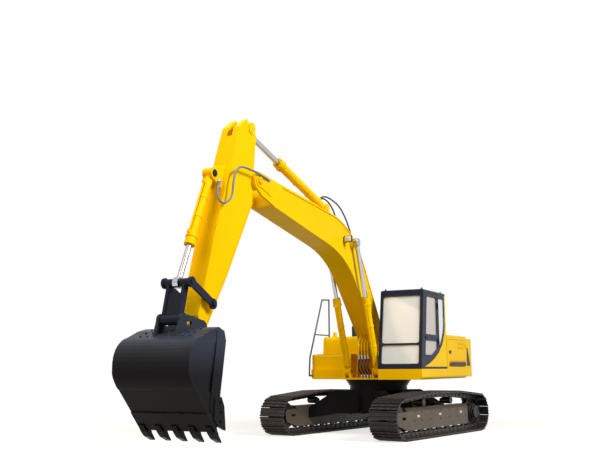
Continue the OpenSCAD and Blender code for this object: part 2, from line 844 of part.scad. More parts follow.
// A closed sheet box on the right deck
module hollow_box(x0, x1, z1, r, rake) {
    difference() {
        slab(-side_y, side_y - bay_y)
            polygon(rounded_box(x0, x1, deck_top, z1, r, rake));
        slab(-side_y + panel_t, side_y - bay_y - 2 * panel_t)
            polygon(rounded_box(x0 + panel_t, x1 - panel_t, deck_top + panel_t, z1 - panel_t,
                r - panel_t, rake));
    }
}

module fuel_tank() {
    color(paint)
        hollow_box(-tank_rear_x, tank_front_x, hood_z, tank_edge_r, tank_rake);
}

module filler_cap() {
    color(paint)
        translate([tank_front_x - tank_edge_r - cap_in, -side_y + cap_in, hood_z]) {
            cylinder(r = cap_r, h = cap_h);
            cylinder(r = cap_r + cap_flange, h = cap_flange);
        }
}

module tool_box() {
    color(paint)
        hollow_box(tank_front_x, box_front_x, box_top_z, box_edge_r, 0);
}

rail_r = 17;
rail_bead = 1;
handrail_y = -side_y + rail_r;
hand_low = [630, 1200];
hand_knee = [600, 1580];
hand_top = [-20, 2880];
hand_back = [-370, 2900];
hand_foot = [hand_back[0], hood_z];
mid_rail_r = 14;
mid_rail_share = 0.392;
hand_mid = mix(hand_knee, hand_top, mid_rail_share);

module tube(a, b, r = rail_r) {
    d = b - a;
    along(a, atan2(d[1], d[0]))
        rotate([0, 90, 0]) cylinder(r = r, h = norm(d));
}

module knob(p) {
    translate([p[0], 0, p[1]]) sphere(r = rail_r + rail_bead);
}

module handrail() {
    color(steel) {
        translate([0, handrail_y, 0]) {
            tube(hand_low, hand_knee);
            tube(hand_knee, hand_top);
            tube(hand_top, hand_back);
            tube(hand_back, hand_foot);
            tube(hand_mid, [hand_back[0], hand_mid[1]], mid_rail_r);
            knob(hand_low);
            knob(hand_knee);
            knob(hand_top);
            knob(hand_back);
        }
        // Foot that reaches back to the skirt
        translate([right_front_x, handrail_y, hand_low[1]])
            rotate([0, 90, 0]) cylinder(r = rail_r, h = hand_low[0] - right_front_x);
    }
}

exhaust_r = 58;
exhaust_h = 300;
exhaust_in = [540, 157];
exhaust_x = -weight_x + exhaust_in[0];
exhaust_y = -side_y + exhaust_in[1];
exhaust_wall = 5;

module exhaust() {
    color(dark)
        translate([exhaust_x, exhaust_y, hood_z])
            difference() {
                cylinder(r = exhaust_r, h = exhaust_h);
                translate([0, 0, exhaust_wall * 2])
                    cylinder(r = exhaust_r - exhaust_wall, h = exhaust_h);
            }
}

// Cab values
cab_z0 = deck_top;
cab_z3 = cab_z0 + cab_h;
floor_t = 45;
roof_t = 55;
cab_z1 = cab_z0 + floor_t;
cab_z2 = cab_z3 - roof_t;
cab_in_y = bay_y;
cab_y_w = side_y - bay_y;
function front_x(z) = mix(cab_front_low, cab_front_top, (z - cab_z0) / cab_h);
roof_edge = 45;
pane_r = 70;
pane_edge_r = 12;
pane_frame = 45;
pillar = 60;
front_bar_share = 0.3;
front_bar_z = cab_z0 + cab_h * front_bar_share;
front_bar_h = 24;
sill_h = 100;
head_h = 75;

module cab_floor() {
    color(slate)
        slab(cab_in_y, cab_y_w)
            polygon([[-cab_rear_x, cab_z0], [front_x(cab_z0), cab_z0], [front_x(cab_z1), cab_z1],
                [-cab_rear_x, cab_z1]]);
}

module cab_roof() {
    color(slate)
        intersection() {
            slab(cab_in_y, cab_y_w)
                polygon(fillets([[-cab_rear_x, cab_z2], [front_x(cab_z2), cab_z2], [front_x(cab_z3), cab_z3],
                    [-cab_rear_x, cab_z3]], [0, 0, roof_edge, roof_edge]));
            across(-cab_rear_x - over, cab_front_low)
                polygon(fillets([[cab_in_y, cab_z2], [side_y, cab_z2], [side_y, cab_z3], [cab_in_y, cab_z3]],
                    [0, 0, roof_edge, roof_edge]));
        }
}

// A four-sided pane outline between two pairs of edges
function pane(a, z, inset) = [[a[0] + inset, z[0] + inset], [a[1] - inset, z[0] + inset],
    [a[1] - inset, z[1] - inset], [a[0] + inset, z[1] - inset]];

// Front panes: lower edge, upper edge and the radii of their lower and upper corners
front_panes = [[cab_z1 + sill_h * half, front_bar_z, pane_r, pane_edge_r],
    [front_bar_z + front_bar_h, cab_z2 - head_h, pane_edge_r, pane_r]];
front_pane_y = [cab_in_y + pillar, side_y - pillar];

module front_pane_2d(z, inset) {
    polygon(fillets(pane(front_pane_y, z, inset), [z[2], z[2], z[3], z[3]]));
}

module cab_front() {
    color(slate)
        difference() {
            slab(cab_in_y, cab_y_w)
                polygon([[front_x(cab_z1) - cab_wall, cab_z1], [front_x(cab_z1), cab_z1],
                    [front_x(cab_z2), cab_z2], [front_x(cab_z2) - cab_wall, cab_z2]]);
            for (z = front_panes)
                translate([cab_front_top - cab_wall - over, 0, 0])
                    rotate([90, 0, 90])
                        linear_extrude(cab_front_low - cab_front_top + cab_wall + 2 * over)
                            front_pane_2d(z, 0);
        }
}

// Outline of the cab's side between the front, rear, floor and roof
side_front_low = front_x(cab_z1) - cab_wall;
side_front_top = front_x(cab_z2) - cab_wall;
side_outline = [[-cab_rear_x + cab_wall, cab_z1], [side_front_low, cab_z1], [side_front_top, cab_z2],
    [-cab_rear_x + cab_wall, cab_z2]];
right_pane_front_x = 620;
right_pane_share = 0.27;
right_pane_x = [-cab_rear_x + 2 * cab_wall + pillar, right_pane_front_x];
right_pane_z = [cab_z0 + cab_h * right_pane_share, cab_z2 - head_h];

module right_pane_2d(inset) {
    polygon(fillet(pane(right_pane_x, right_pane_z, inset), pane_r));
}

module cab_right() {
    color(slate)
        slab(cab_in_y, cab_wall)
            difference() {
                polygon(side_outline);
                right_pane_2d(0);
            }
}

rear_pane_y = [cab_in_y + 2 * pillar, side_y - 2 * pillar];
rear_pane_z = [hood_z + housing_gap, cab_z2 - head_h];

module rear_pane_2d(inset) {
    polygon(fillet(pane(rear_pane_y, rear_pane_z, inset), pane_r));
}

module cab_rear() {
    color(paint)
        difference() {
            translate([-cab_rear_x, cab_in_y, cab_z1])
                cube([cab_wall, cab_y_w, cab_z2 - cab_z1]);
            translate([-cab_rear_x - over, 0, 0])
                rotate([90, 0, 90])
                    linear_extrude(cab_wall + 2 * over) rear_pane_2d(0);
        }
}

// Bow that parts the dark window frame and door from the side panel: start, bend and end
bow_in = 25;
bow_bend_in = 125;
bow_start_share = 0.574;
bow_bend_share = 0.168;
door_low_x = 850;
bow_start = [-cab_rear_x + cab_wall + bow_in, cab_z0 + cab_h * bow_start_share];
bow_bend = [-cab_rear_x + cab_wall + bow_bend_in, cab_z0 + cab_h * bow_bend_share];
bow_end = [door_low_x, cab_z1];
function bow_pt(t) = mix(mix(bow_start, bow_bend, t), mix(bow_bend, bow_end, t), t);
function bow_pts(t0, t1, n) = [for (i = [0 : n]) bow_pt(mix(t0, t1, i / n))];
bow_a = bow_start[0] - 2 * bow_bend[0] + bow_end[0];
bow_b = bow_bend[0] - bow_start[0];
// Share of the bow at the door's hinge pillar
bow_t = (sqrt(bow_b * bow_b - bow_a * (bow_start[0] + door_pillar_x)) - bow_b) / bow_a;
bow_rear = bow_pts(0, bow_t, 6);
bow_front = bow_pts(bow_t, 1, 8);
door_curve_z = bow_pt(bow_t)[1];

function door_outline(inset) = concat(
    [[side_front_top - inset, cab_z2 - inset], [-door_pillar_x + inset, cab_z2 - inset]],
    [for (p = bow_front) p + [inset, inset]], [[side_front_low - inset, cab_z1 + inset]]);

quarter_x = [bow_start[0] + pane_frame, -door_pillar_x - pillar];
quarter_shares = [0.1, 0.2, 0.3];
quarter_r = 36;

module quarter_pane_2d(inset) {
    polygon(fillet(concat([[quarter_x[1] - inset, cab_z2 - head_h - inset],
        [quarter_x[0] + inset, cab_z2 - head_h - inset], [quarter_x[0] + inset, bow_start[1]]],
        [for (t = quarter_shares) bow_pt(t) + [pane_frame + inset, pane_frame + inset]],
        [[quarter_x[1] - inset, bow_pt(bow_t)[1] + 2 * pane_frame + inset]]), quarter_r));
}

module at_door_hinges() {
    for (z = hinge_zs([door_curve_z, cab_z2]))
        translate([-door_pillar_x, side_y + hinge_out, z]) children();
}

module cab_quarter() {
    color(slate) {
        slab(side_y - cab_wall, cab_wall)
            difference() {
                polygon(concat([[-door_pillar_x, cab_z2], [bow_start[0], cab_z2]], bow_rear));
                quarter_pane_2d(0);
            }
        at_door_hinges() fixed_hinge();
    }
}

module cab_left() {
    color(paint)
        slab(side_y - cab_wall, cab_wall)
            polygon(concat([[-cab_rear_x + cab_wall, cab_z1]], flip(bow_front), tail_of(flip(bow_rear)),
                [[bow_start[0], cab_z2], [-cab_rear_x + cab_wall, cab_z2]]));
}

door_margin = 70;
door_front_margin = 150;
door_split_share = 0.36;
door_pane_share = 0.17;
door_cut_share = 0.45;
door_split_z = cab_z0 + cab_h * door_split_share;
door_bar_h = 110;
door_pane_low_z = cab_z0 + cab_h * door_pane_share;
door_pane_r = 36;

module door_pane_2d(low, inset) {
    z0 = low ? door_pane_low_z : door_split_z + door_bar_h;
    z1 = low ? door_split_z : cab_z2 - head_h;
    x0 = -door_pillar_x + door_margin;
    x_low = front_x(z0) - cab_wall - door_front_margin;
    x_top = front_x(z1) - cab_wall - door_front_margin;
    x_cut = low ? mix(x0, x_low, door_cut_share) : x0;
    z_cut = low ? mix(z0, z1, door_cut_share) : z0;
    polygon(fillet(concat(low ? [[x_cut + inset, z0 + inset]] : [], [[x_low - inset, z0 + inset],
        [x_top - inset, z1 - inset], [x0 + inset, z1 - inset], [x0 + inset, z_cut + inset]]), door_pane_r));
}

module cab_door() {
    color(slate) {
        slab(side_y - cab_wall, cab_wall)
            difference() {
                polygon(door_outline(door_gap));
                door_pane_2d(true, 0);
                door_pane_2d(false, 0);
            }
        at_door_hinges() moving_hinge();
    }
}

glass_y = side_y - cab_wall * half;

module door_glass() {
    color(glass)
        slab(glass_y, glass_t) {
            door_pane_2d(true, clear);
            door_pane_2d(false, clear);
        }
}

module cab_glass() {
    color(glass) {
        for (z = front_panes)
            intersection() {
                slab(cab_in_y, cab_y_w)
                    polygon([for (p = [[cab_z1, 0], [cab_z1, 1], [cab_z2, 1], [cab_z2, 0]])
                        [front_x(p[0]) - cab_wall * half + p[1] * glass_t, p[0]]]);
                translate([cab_front_top - cab_wall - over, 0, 0])
                    rotate([90, 0, 90])
                        linear_extrude(cab_front_low - cab_front_top + cab_wall + 2 * over)
                            front_pane_2d(z, clear);
            }
        slab(cab_in_y + cab_wall * half, glass_t) right_pane_2d(clear);
        translate([-cab_rear_x + cab_wall * half, 0, 0])
            rotate([90, 0, 90])
                linear_extrude(glass_t) rear_pane_2d(clear);
        slab(glass_y, glass_t) quarter_pane_2d(clear);
    }
}

// Seat and consoles
seat_y = cab_in_y + cab_y_w * half;
seat_share = 0.54;
seat_w = cab_y_w * seat_share;
seat_x = 60;
seat_l = 500;
seat_base_h = 300;
cushion_t = 130;
back_h = 620;
back_t = 130;
back_lean = 70;
base_in = 90;

module seat() {
    color(dark) {
        slab(seat_y - seat_w * half + base_in, seat_w - 2 * base_in)
            translate([seat_x - seat_l * half + base_in, cab_z1])
                square([seat_l - 2 * base_in, seat_base_h]);
        slab(seat_y - seat_w * half, seat_w)
            polygon([[seat_x - seat_l * half, cab_z1 + seat_base_h], [seat_x + seat_l * half, cab_z1 + seat_base_h],
                [seat_x + seat_l * half, cab_z1 + seat_base_h + cushion_t],
                [seat_x - seat_l * half + back_t, cab_z1 + seat_base_h + cushion_t],
                [seat_x - seat_l * half + back_t - back_lean, cab_z1 + seat_base_h + back_h],
                [seat_x - seat_l * half - back_lean, cab_z1 + seat_base_h + back_h]]);
    }
}

console_share = 0.14;
console_w = cab_y_w * console_share;
console_l = 520;
console_h = 480;
lever_r = 11;
lever_h = 190;
grip_r = 24;
console_gap = 12;

module consoles() {
    color(dark)
        for (y = [seat_y - seat_w * half - console_gap - console_w, seat_y + seat_w * half + console_gap]) {
            translate([seat_x - seat_l * half, y, cab_z1])
                cube([console_l, console_w, console_h]);
            translate([seat_x - seat_l * half + console_l - console_w * half, y + console_w * half,
                cab_z1 + console_h]) {
                cylinder(r = lever_r, h = lever_h);
                translate([0, 0, lever_h * half])
                    cylinder(r = grip_r, h = lever_h * half);
            }
        }
}

// Boom: points along and across its pin line, as shares of its length
boom_tip = foot + polar(boom_len, boom_angle);
function boom_pt(s) = place(foot, boom_angle, s * boom_len);
function boom_pts(list) = [for (s = list) boom_pt(s)];
boom_low_shares = concat([[0.004, -0.028], [0.28, 0.0735]],
    curve([0.3, 0.0805], [0.42, 0.125], [0.56, 0.08], 8), [[0.9, -0.018]]);
boom_top_shares = concat([[-0.014, 0.025], [0.25, 0.1705]],
    curve([0.28, 0.185], [0.4, 0.244], [0.54, 0.2025], 8), [[0.9, 0.062]]);
boom_tip_r = 150;
cheek_t = 38;
cheek_y = boom_half_w - cheek_t;
boom_rod_share = [0.3889, 0.192];
arm_base_share = [0.56, 0.222];
boom_rod_pin = boom_pt(boom_rod_share);
arm_base_pin = boom_pt(arm_base_share);
rod_boss_r = 95;
cavity_shares = [0.07, 0.86];
cheek_shares = [[0.88, -0.012], [0.97, -0.03], [1.004, -0.026], [1.014, 0.022], [0.97, 0.04], [0.88, 0.07]];
// Flanges stand out past the side plates
flange_lip = 14;
flange_t = 26;
doubler_t = 14;
doubler_r = 105;
doubler_share = [0.94, 0.012];
doubler_neck_share = 0.88;
boom_low_line = boom_pts(boom_low_shares);
boom_top_line = boom_pts(boom_top_shares);
arm_pin_r = 52;
base_lug_t = 34;
base_lug_shares = [[-0.05, -0.035], [0.0145, -0.06], [0.0145, 0.004], [-0.0145, 0.004]];
base_lug_r = 92;
base_lug_y = eye_w * half + eye_gap;
boom_rod_y = cyl_y - eye_w * half - eye_gap;

function edge_inside(list) = [for (s = list) if (s[0] > cavity_shares[0] && s[0] < cavity_shares[1]) boom_pt(s)];

module boom() {
    color(paint)
        difference() {
            union() {
                middle_slab(boom_w - 2 * flange_lip)
                    polygon(concat(boom_low_line, flip(boom_top_line)));
                middle_slab(boom_w) {
                    polygon(concat(boom_low_line, flip(inward(boom_low_line, -flange_t))));
                    polygon(concat(boom_top_line, flip(inward(boom_top_line, flange_t))));
                }
                middle_bar(foot, foot_boss_r, boom_w);
                both_sides() {
                    slab(cheek_y, cheek_t) {
                        polygon(boom_pts(cheek_shares));
                        translate(boom_tip) circle(r = boom_tip_r);
                    }
                    // Doubler plate about the arm pin
                    slab(boom_half_w, doubler_t) {
                        translate(boom_tip) circle(r = doubler_r);
                        translate(boom_pt(doubler_share)) circle(r = doubler_r);
                        translate(boom_tip)
                            rotate(slope(boom_tip, boom_pt(doubler_share)))
                                translate([0, -doubler_r * doubler_neck_share])
                                    square([span(boom_tip, boom_pt(doubler_share)),
                                        2 * doubler_r * doubler_neck_share]);
                    }
                    bar(boom_rod_pin, rod_boss_r, 0, boom_rod_y);
                    slab(base_lug_y, base_lug_t) {
                        translate(arm_base_pin) circle(r = base_lug_r);
                        polygon(boom_pts([for (s = base_lug_shares) arm_base_share + s]));
                    }
                }
            }
            // Hollow of the box between its plates
            middle_slab(boom_w - 2 * (flange_lip + web_t))
                polygon(concat(lift(edge_inside(boom_low_shares), web_t),
                    flip(lift(edge_inside(boom_top_shares), -web_t))));
            middle_bar(foot, foot_pin_r + clear, boom_w + 2 * over);
            middle_bar(boom_tip, arm_pin_r + clear, boom_w + 2 * (doubler_t + over));
            middle_bar(arm_base_pin, cyl_pin_r + clear, boom_w);
        }
}

module boom_pins() {
    color(steel) {
        headed_pin(boom_tip, arm_pin_r, boom_w + 2 * doubler_t);
        headed_pin(arm_base_pin, cyl_pin_r, 2 * (base_lug_y + base_lug_t));
    }
}

pipe_r = 16;
pipe_y = 85;
pipe_rise = 12;
pipe_ends_share = [0.3, 0.97];
clamp_shares = [0.36, 0.62, 0.88];
clamp_l = 50;
top_run = boom_pts([for (i = [2, 1]) boom_top_shares[len(boom_top_shares) - i]]);
top_a = slope(top_run[0], top_run[1]);
pipe_start = mix(top_run[0], top_run[1], pipe_ends_share[0]);
pipe_len = span(top_run[0], top_run[1]) * (pipe_ends_share[1] - pipe_ends_share[0]);

// Steel pipes that lie in clamps along the top of the boom
module boom_pipes() {
    color(dark)
        along(pipe_start, top_a)
            both_sides() {
                for (y = [pipe_y, 2 * pipe_y])
                    translate([0, y, pipe_rise + pipe_r])
                        rotate([0, 90, 0]) cylinder(r = pipe_r, h = pipe_len);
                for (c = clamp_shares)
                    translate([pipe_len * c, pipe_y - 2 * pipe_r, clear])
                        cube([clamp_l, pipe_y + 4 * pipe_r, pipe_rise + pipe_r]);
            }
}

lamp_share = [0.443, 0.17];
lamp_r = 62;
lamp_l = 90;
lamp_stand = 40;

module work_lamp() {
    color(steel)
        translate([boom_pt(lamp_share)[0], boom_half_w - flange_lip, boom_pt(lamp_share)[1]]) {
            bar([0, 0], lamp_r * half, 0, lamp_stand + lamp_r * half);
            translate([-lamp_l * half, lamp_stand + lamp_r, 0])
                rotate([0, 90, 0]) cylinder(r = lamp_r, h = lamp_l);
        }
}

// Cylinders: pin at the origin, drawn along +X
head_share = 1.2;
head_l = 120;
bore_start_share = 1.4;
neck_l = base_lug_r + 8 * eye_gap;
neck_share = 0.6;
collar_share = 1.32;
collar_l = 34;
tube_r = 13;
tube_gap = 24;
tube_in = 40;
port_w = 60;
port_half = 22;

module barrel(r, rod_r, length, boss_r, pin_r, tube_side = 1) {
    difference() {
        union() {
            translate([neck_l, 0, 0])
                rotate([0, 90, 0]) cylinder(r = r, h = length - neck_l);
            translate([0, -eye_w * half, -boss_r * neck_share])
                cube([neck_l + over, eye_w, 2 * boss_r * neck_share]);
            translate([length - head_l, 0, 0])
                rotate([0, 90, 0]) cylinder(r = r * head_share, h = head_l);
            translate([length - head_l - collar_l, 0, 0])
                rotate([0, 90, 0]) cylinder(r = r * collar_share, h = collar_l);
            // Oil pipe beside the barrel, between its two ports
            translate([neck_l + tube_in, 0, tube_side * (r + tube_gap)])
                rotate([0, 90, 0]) cylinder(r = tube_r, h = length - neck_l - tube_in - head_l);
            mirror([0, 0, tube_side < 0 ? 1 : 0])
                for (x = [neck_l + tube_in, length - head_l - collar_l - port_w])
                    translate([x, -port_half, 0])
                        cube([port_w, 2 * port_half, r + tube_gap + port_half]);
            middle_bar([0, 0], boss_r, eye_w);
        }
        middle_bar([0, 0], pin_r + clear, eye_w + 2 * over);
        translate([boss_r * bore_start_share, 0, 0])
            rotate([0, 90, 0]) cylinder(r = rod_r + clear, h = length);
    }
}

module rod(r, length, reach, eye_r) {
    translate([reach - length, 0, 0])
        rotate([0, 90, 0]) cylinder(r = r, h = length - eye_r * half);
    middle_bar([reach, 0], eye_r, eye_w);
}

function span(a, b) = norm(b - a);
function slope(a, b) = atan2(b[1] - a[1], b[0] - a[0]);
rod_eye_r = 85;

module boom_barrels() {
    color(paint) both_sides()
        translate([0, cyl_y, 0])
            along(cyl_foot, slope(cyl_foot, boom_rod_pin))
                barrel(boom_barrel_r, boom_rod_r, boom_barrel_len, cyl_boss_r - eye_gap, cyl_pin_r, -1);
}

module boom_rods() {
    color(steel) both_sides()
        translate([0, cyl_y, 0])
            along(cyl_foot, slope(cyl_foot, boom_rod_pin))
                rod(boom_rod_r, boom_rod_len, span(cyl_foot, boom_rod_pin), rod_eye_r);
}

// Arm: points along and across its pin line, as shares of its length
arm_tip = boom_tip + polar(arm_len, arm_angle);
function arm_pt(s) = place(boom_tip, arm_angle, s * arm_len);
function arm_pts(list) = [for (s = list) arm_pt(s)];
arm_rear_shares = [[-0.225, 0.13], [-0.145, 0.1], [0.13, -0.04], [0.64, -0.053], [0.96, -0.045]];
arm_front_shares = [[-0.235, 0.262], [-0.133, 0.3], [0.16, 0.24], [0.54, 0.155], [0.8, 0.086], [0.96, 0.05]];
arm_boss_r = 150;
arm_end_r = 125;
arm_rod_share = [-0.2284, 0.1949];
bucket_base_share = [0.2269, 0.306];
idler_share = [0.8544, 0.0011];
arm_rod_pin = arm_pt(arm_rod_share);
bucket_base_pin = arm_pt(bucket_base_share);
idler_pin = arm_pt(idler_share);
arm_half_w = arm_w * half;
arm_fork_half = arm_rod_r + eye_gap;
arm_cavity_shares = [[-0.055, 0.075], [0.14, -0.026], [0.64, -0.04], [0.8, -0.036], [0.8, 0.07],
    [0.54, 0.14], [0.16, 0.225], [-0.055, 0.268]];
arm_rear_line = arm_pts(arm_rear_shares);
arm_front_line = arm_pts(arm_front_shares);
arm_rear_run = [for (i = [2 : len(arm_rear_line) - 1]) arm_rear_line[i]];
bucket_pin_r = 42;
link_pin_r = 38;
link_boss_r = 78;
ear_y = arm_half_w + 2 * eye_gap;
ear_t = 36;
idler_y = ear_y + ear_t + 2 * eye_gap;
idler_t = 36;
arm_eye_r = 100;
arm_lug_shares = [[-0.14, -0.07], [0.029, -0.11], [0.029, 0.008], [-0.029, 0.008]];
arm_slot_shares = [[-0.4, 0.0], [-0.4, 0.4], [-0.08, 0.4], [-0.08, 0.08], [-0.13, 0.0]];

module arm() {
    color(paint)
        difference() {
            union() {
                difference() {
                    middle_slab(arm_w - 2 * flange_lip)
                        polygon(concat(arm_rear_line, flip(arm_front_line)));
                    // Hollow of the box between its plates
                    middle_slab(arm_w - 2 * (flange_lip + web_t)) polygon(arm_pts(arm_cavity_shares));
                }
                middle_slab(arm_w) {
                    polygon(concat(arm_rear_run, flip(inward(arm_rear_run, -flange_t))));
                    polygon(concat(arm_front_line, flip(inward(arm_front_line, flange_t))));
                    translate(boom_tip) circle(r = arm_boss_r);
                    translate(arm_tip) circle(r = arm_end_r);
                    translate(arm_rod_pin) circle(r = arm_eye_r);
                }
                middle_bar(boom_tip, arm_boss_r, 2 * (cheek_y - eye_gap));
                both_sides() {
                    slab(base_lug_y, base_lug_t) {
                        translate(bucket_base_pin) circle(r = base_lug_r);
                        polygon(arm_pts([for (s = arm_lug_shares) bucket_base_share + s]));
                    }
                    bar(idler_pin, link_boss_r, 0, idler_y - eye_gap);
                }
            }
            // Slot for the arm cylinder's eye
            middle_slab(2 * arm_fork_half)
                polygon(arm_pts(arm_slot_shares));
            middle_bar(boom_tip, arm_pin_r + clear, boom_w);
            middle_bar(arm_tip, bucket_pin_r + clear, boom_w);
            middle_bar(idler_pin, link_pin_r + clear, 2 * idler_y);
            middle_bar(bucket_base_pin, cyl_pin_r + clear, boom_w);
        }
}

module arm_pins() {
    color(steel) {
        middle_bar(arm_tip, bucket_pin_r, 2 * (ear_y + ear_t));
        headed_pin(idler_pin, link_pin_r, 2 * (idler_y + idler_t));
        headed_pin(bucket_base_pin, cyl_pin_r, 2 * (base_lug_y + base_lug_t));
    }
}

module arm_barrel() {
    color(paint)
        along(arm_base_pin, slope(arm_base_pin, arm_rod_pin))
            barrel(arm_barrel_r, arm_rod_r, arm_barrel_len, cyl_boss_r, cyl_pin_r);
}

module arm_rod() {
    color(steel)
        along(arm_base_pin, slope(arm_base_pin, arm_rod_pin))
            rod(arm_rod_r, arm_rod_len, span(arm_base_pin, arm_rod_pin), rod_eye_r);
}

// Bucket linkage: the bucket's link pin, and the top pin where the links meet
bucket_link_share = [0.289, 0.064];
function bucket_pt(s) = arm_tip + s * bucket_reach;
function bucket_pts(list) = [for (s = list) bucket_pt(s)];
bucket_link_pin = bucket_pt(bucket_link_share);
link_base = span(idler_pin, bucket_link_pin);
link_a = acos((idler_len * idler_len + link_base * link_base - link_len * link_len)
    / (2 * idler_len * link_base));
top_pin = idler_pin + polar(idler_len, slope(idler_pin, bucket_link_pin) + link_a);

module bucket_barrel() {
    color(paint)
        along(bucket_base_pin, slope(bucket_base_pin, top_pin))
            barrel(bucket_barrel_r, bucket_rod_r, bucket_barrel_len, cyl_boss_r, cyl_pin_r);
}

module bucket_rod() {
    color(steel)
        along(bucket_base_pin, slope(bucket_base_pin, top_pin))
            rod(bucket_rod_r, bucket_rod_len, span(bucket_base_pin, top_pin), rod_eye_r);
}

link_bar_share = 0.7;

module link_plate_2d(a, b, r) {
    difference() {
        union() {
            translate(a) circle(r = r);
            translate(b) circle(r = r);
            translate(a)
                rotate(slope(a, b))
                    translate([0, -r * link_bar_share])
                        square([span(a, b), 2 * r * link_bar_share]);
        }
        translate(a) circle(r = link_pin_r + clear);
        translate(b) circle(r = link_pin_r + clear);
    }
}

module idler_links() {
    color(slate) both_sides()
        slab(idler_y, idler_t) link_plate_2d(idler_pin, top_pin, link_boss_r);
}

link_in_y = eye_w * half + 3 * eye_gap;
link_plate_y = 110;
link_plate_t = 45;
link_out_y = ear_y - 2 * eye_gap;
top_boss_r = 60;
end_boss_r = 72;
link_panel_shares = [0.3, 0.9];
link_panel_out = 8;
link_panel_t = 24;

module bucket_link() {
    color(slate) {
        both_sides() {
            bar(top_pin, top_boss_r, link_in_y, idler_y - eye_gap - link_in_y);
            bar(top_pin, link_pin_r, link_in_y, idler_y + idler_t + pin_head_t - link_in_y);
            slab(link_plate_y, link_plate_t) {
                translate(top_pin) circle(r = top_boss_r);
                translate(bucket_link_pin) circle(r = end_boss_r);
                translate(top_pin)
                    rotate(slope(top_pin, bucket_link_pin))
                        translate([0, -end_boss_r * link_bar_share])
                            square([span(top_pin, bucket_link_pin), 2 * end_boss_r * link_bar_share]);
            }
        }
        middle_bar(bucket_link_pin, end_boss_r, 2 * link_out_y);
        // Panel between the link's plates, with a window over it
        middle_slab(2 * link_plate_y + over)
            translate(top_pin)
                rotate(slope(top_pin, bucket_link_pin))
                    translate([link_len * link_panel_shares[0], link_panel_out])
                        square([link_len * (link_panel_shares[1] - link_panel_shares[0]), link_panel_t]);
    }
}

// Bucket: outer line of the wrapper from its top edge to the lip, and the mouth line of the side plates
wrap_shares = concat([[0.139, 0.0], [0.252, -0.026], [0.4, -0.0865]],
    curve([0.43, -0.1], [0.585, -0.168], [0.584, -0.345], 8),
    curve([0.583, -0.4], [0.57, -0.46], [0.5, -0.535], 5), [[0.175, -0.897]]);
mouth_shares = [[0.15, -0.86], [0.1195, -0.625], [0.03, -0.119], [0.06, -0.03]];
function inward(list, d) = [for (i = [0 : len(list) - 1])
    let (a = list[max(i - 1, 0)], b = list[min(i + 1, len(list) - 1)], t = (b - a) / norm(b - a))
    list[i] + d * [t[1], -t[0]]];
wrap_line = bucket_pts(wrap_shares);
bucket_half_w = bucket_w * half;
side_t = 25;
tooth_w = 95;
lip_shares = [0.175, -0.897];
tip_shares = [0.058, -0.998];
ear_boss_r = 118;
ear_link_r = 92;
ear_shares = [[0.06, -0.07], [0.14, -0.02], [0.252, -0.045], [0.4, -0.105], [0.35, 0.05], [0.289, 0.12], [0, 0.075]];
ear_hole_share = [0.205, 0.036];
ear_hole_half = 32;
ear_hole_r = 27;
// Raised edges of the side plates, wear plate round the heel, lip plate and bolted side cutters
edge_t = 10;
edge_w = 42;
heel_t = 10;
lip_out = 16;
lip_l = 330;
cutter_t = 14;
edge_shares = [[0.17, -0.012], [0.06, -0.03], [0.03, -0.119], [0.1195, -0.625], [0.15, -0.86], [0.265, -0.78],
    [0.251, -0.581], [0.175, -0.11]];
cutter_shares = [[0.105, -0.607], [0.06, -0.69], [0.038, -0.897], [0.161, -0.853], [0.22, -0.79], [0.204, -0.619]];
heel_line = [for (i = [3 : len(wrap_line) - 2]) wrap_line[i]];

module bucket() {
    color(slate)
        difference() {
            union() {
                middle_slab(bucket_w - 2 * side_t)
                    polygon(concat(wrap_line, flip(inward(wrap_line, wrapper_t))));
                middle_slab(bucket_w) {
                    polygon(concat(heel_line, flip(inward(heel_line, -heel_t))));
                    polygon(lip_pts([[-lip_l, -lip_out], [0, -lip_out], [0, lip_out], [-lip_l, lip_out]]));
                }
                both_sides() {
                    slab(bucket_half_w - side_t, side_t - edge_t)
                        polygon(concat(wrap_line, bucket_pts(mouth_shares)));
                    slab(bucket_half_w - side_t, side_t) {
                        polygon(bucket_pts(edge_shares));
                        polygon(concat(wrap_line, flip(inward(wrap_line, edge_w))));
                    }
                    slab(bucket_half_w - side_t, side_t + cutter_t)
                        polygon(bucket_pts(cutter_shares));
                    slab(ear_y, ear_t) {
                        translate(arm_tip) circle(r = ear_boss_r);
                        translate(bucket_link_pin) circle(r = ear_link_r);
                        polygon(bucket_pts(ear_shares));
                    }
                }
            }
            both_sides() {
                bar(arm_tip, bucket_pin_r + clear, ear_y - over, ear_t + 2 * over);
                slab(ear_y - over, ear_t + 2 * over)
                    translate(bucket_pt(ear_hole_share)) {
                        for (e = [-1, 1])
                            translate([e * ear_hole_half, 0]) circle(r = ear_hole_r);
                        translate(-[ear_hole_half, ear_hole_r]) square(2 * [ear_hole_half, ear_hole_r]);
                    }
            }
        }
}

// Places along and across the lip, from its outer edge
lip_end = bucket_pt(lip_shares);
lip_dir = unit(lip_end - wrap_line[len(wrap_line) - 2]);
function lip_pt(s, n) = lip_end + s * lip_dir + n * [lip_dir[1], -lip_dir[0]];
function lip_pts(list) = [for (p = list) lip_pt(p[0], p[1])];
tip_vec = bucket_pt(tip_shares) - lip_end;
tip_s = tip_vec * lip_dir;
tip_n = tip_vec * [lip_dir[1], -lip_dir[0]];
adapter_l = 105;
adapter_legs = [150, 110];
leg_t = [34, 28];
leg_end_t = 14;
nose_h = 84;
tip_t = 14;
lip_mid = (wrapper_t - lip_out) * half;
tooth_row = bucket_w - 2 * (side_t + clear) - tooth_w;
function tooth_y(i) = (i - (tooth_count - 1) * half) * tooth_row / (tooth_count - 1);

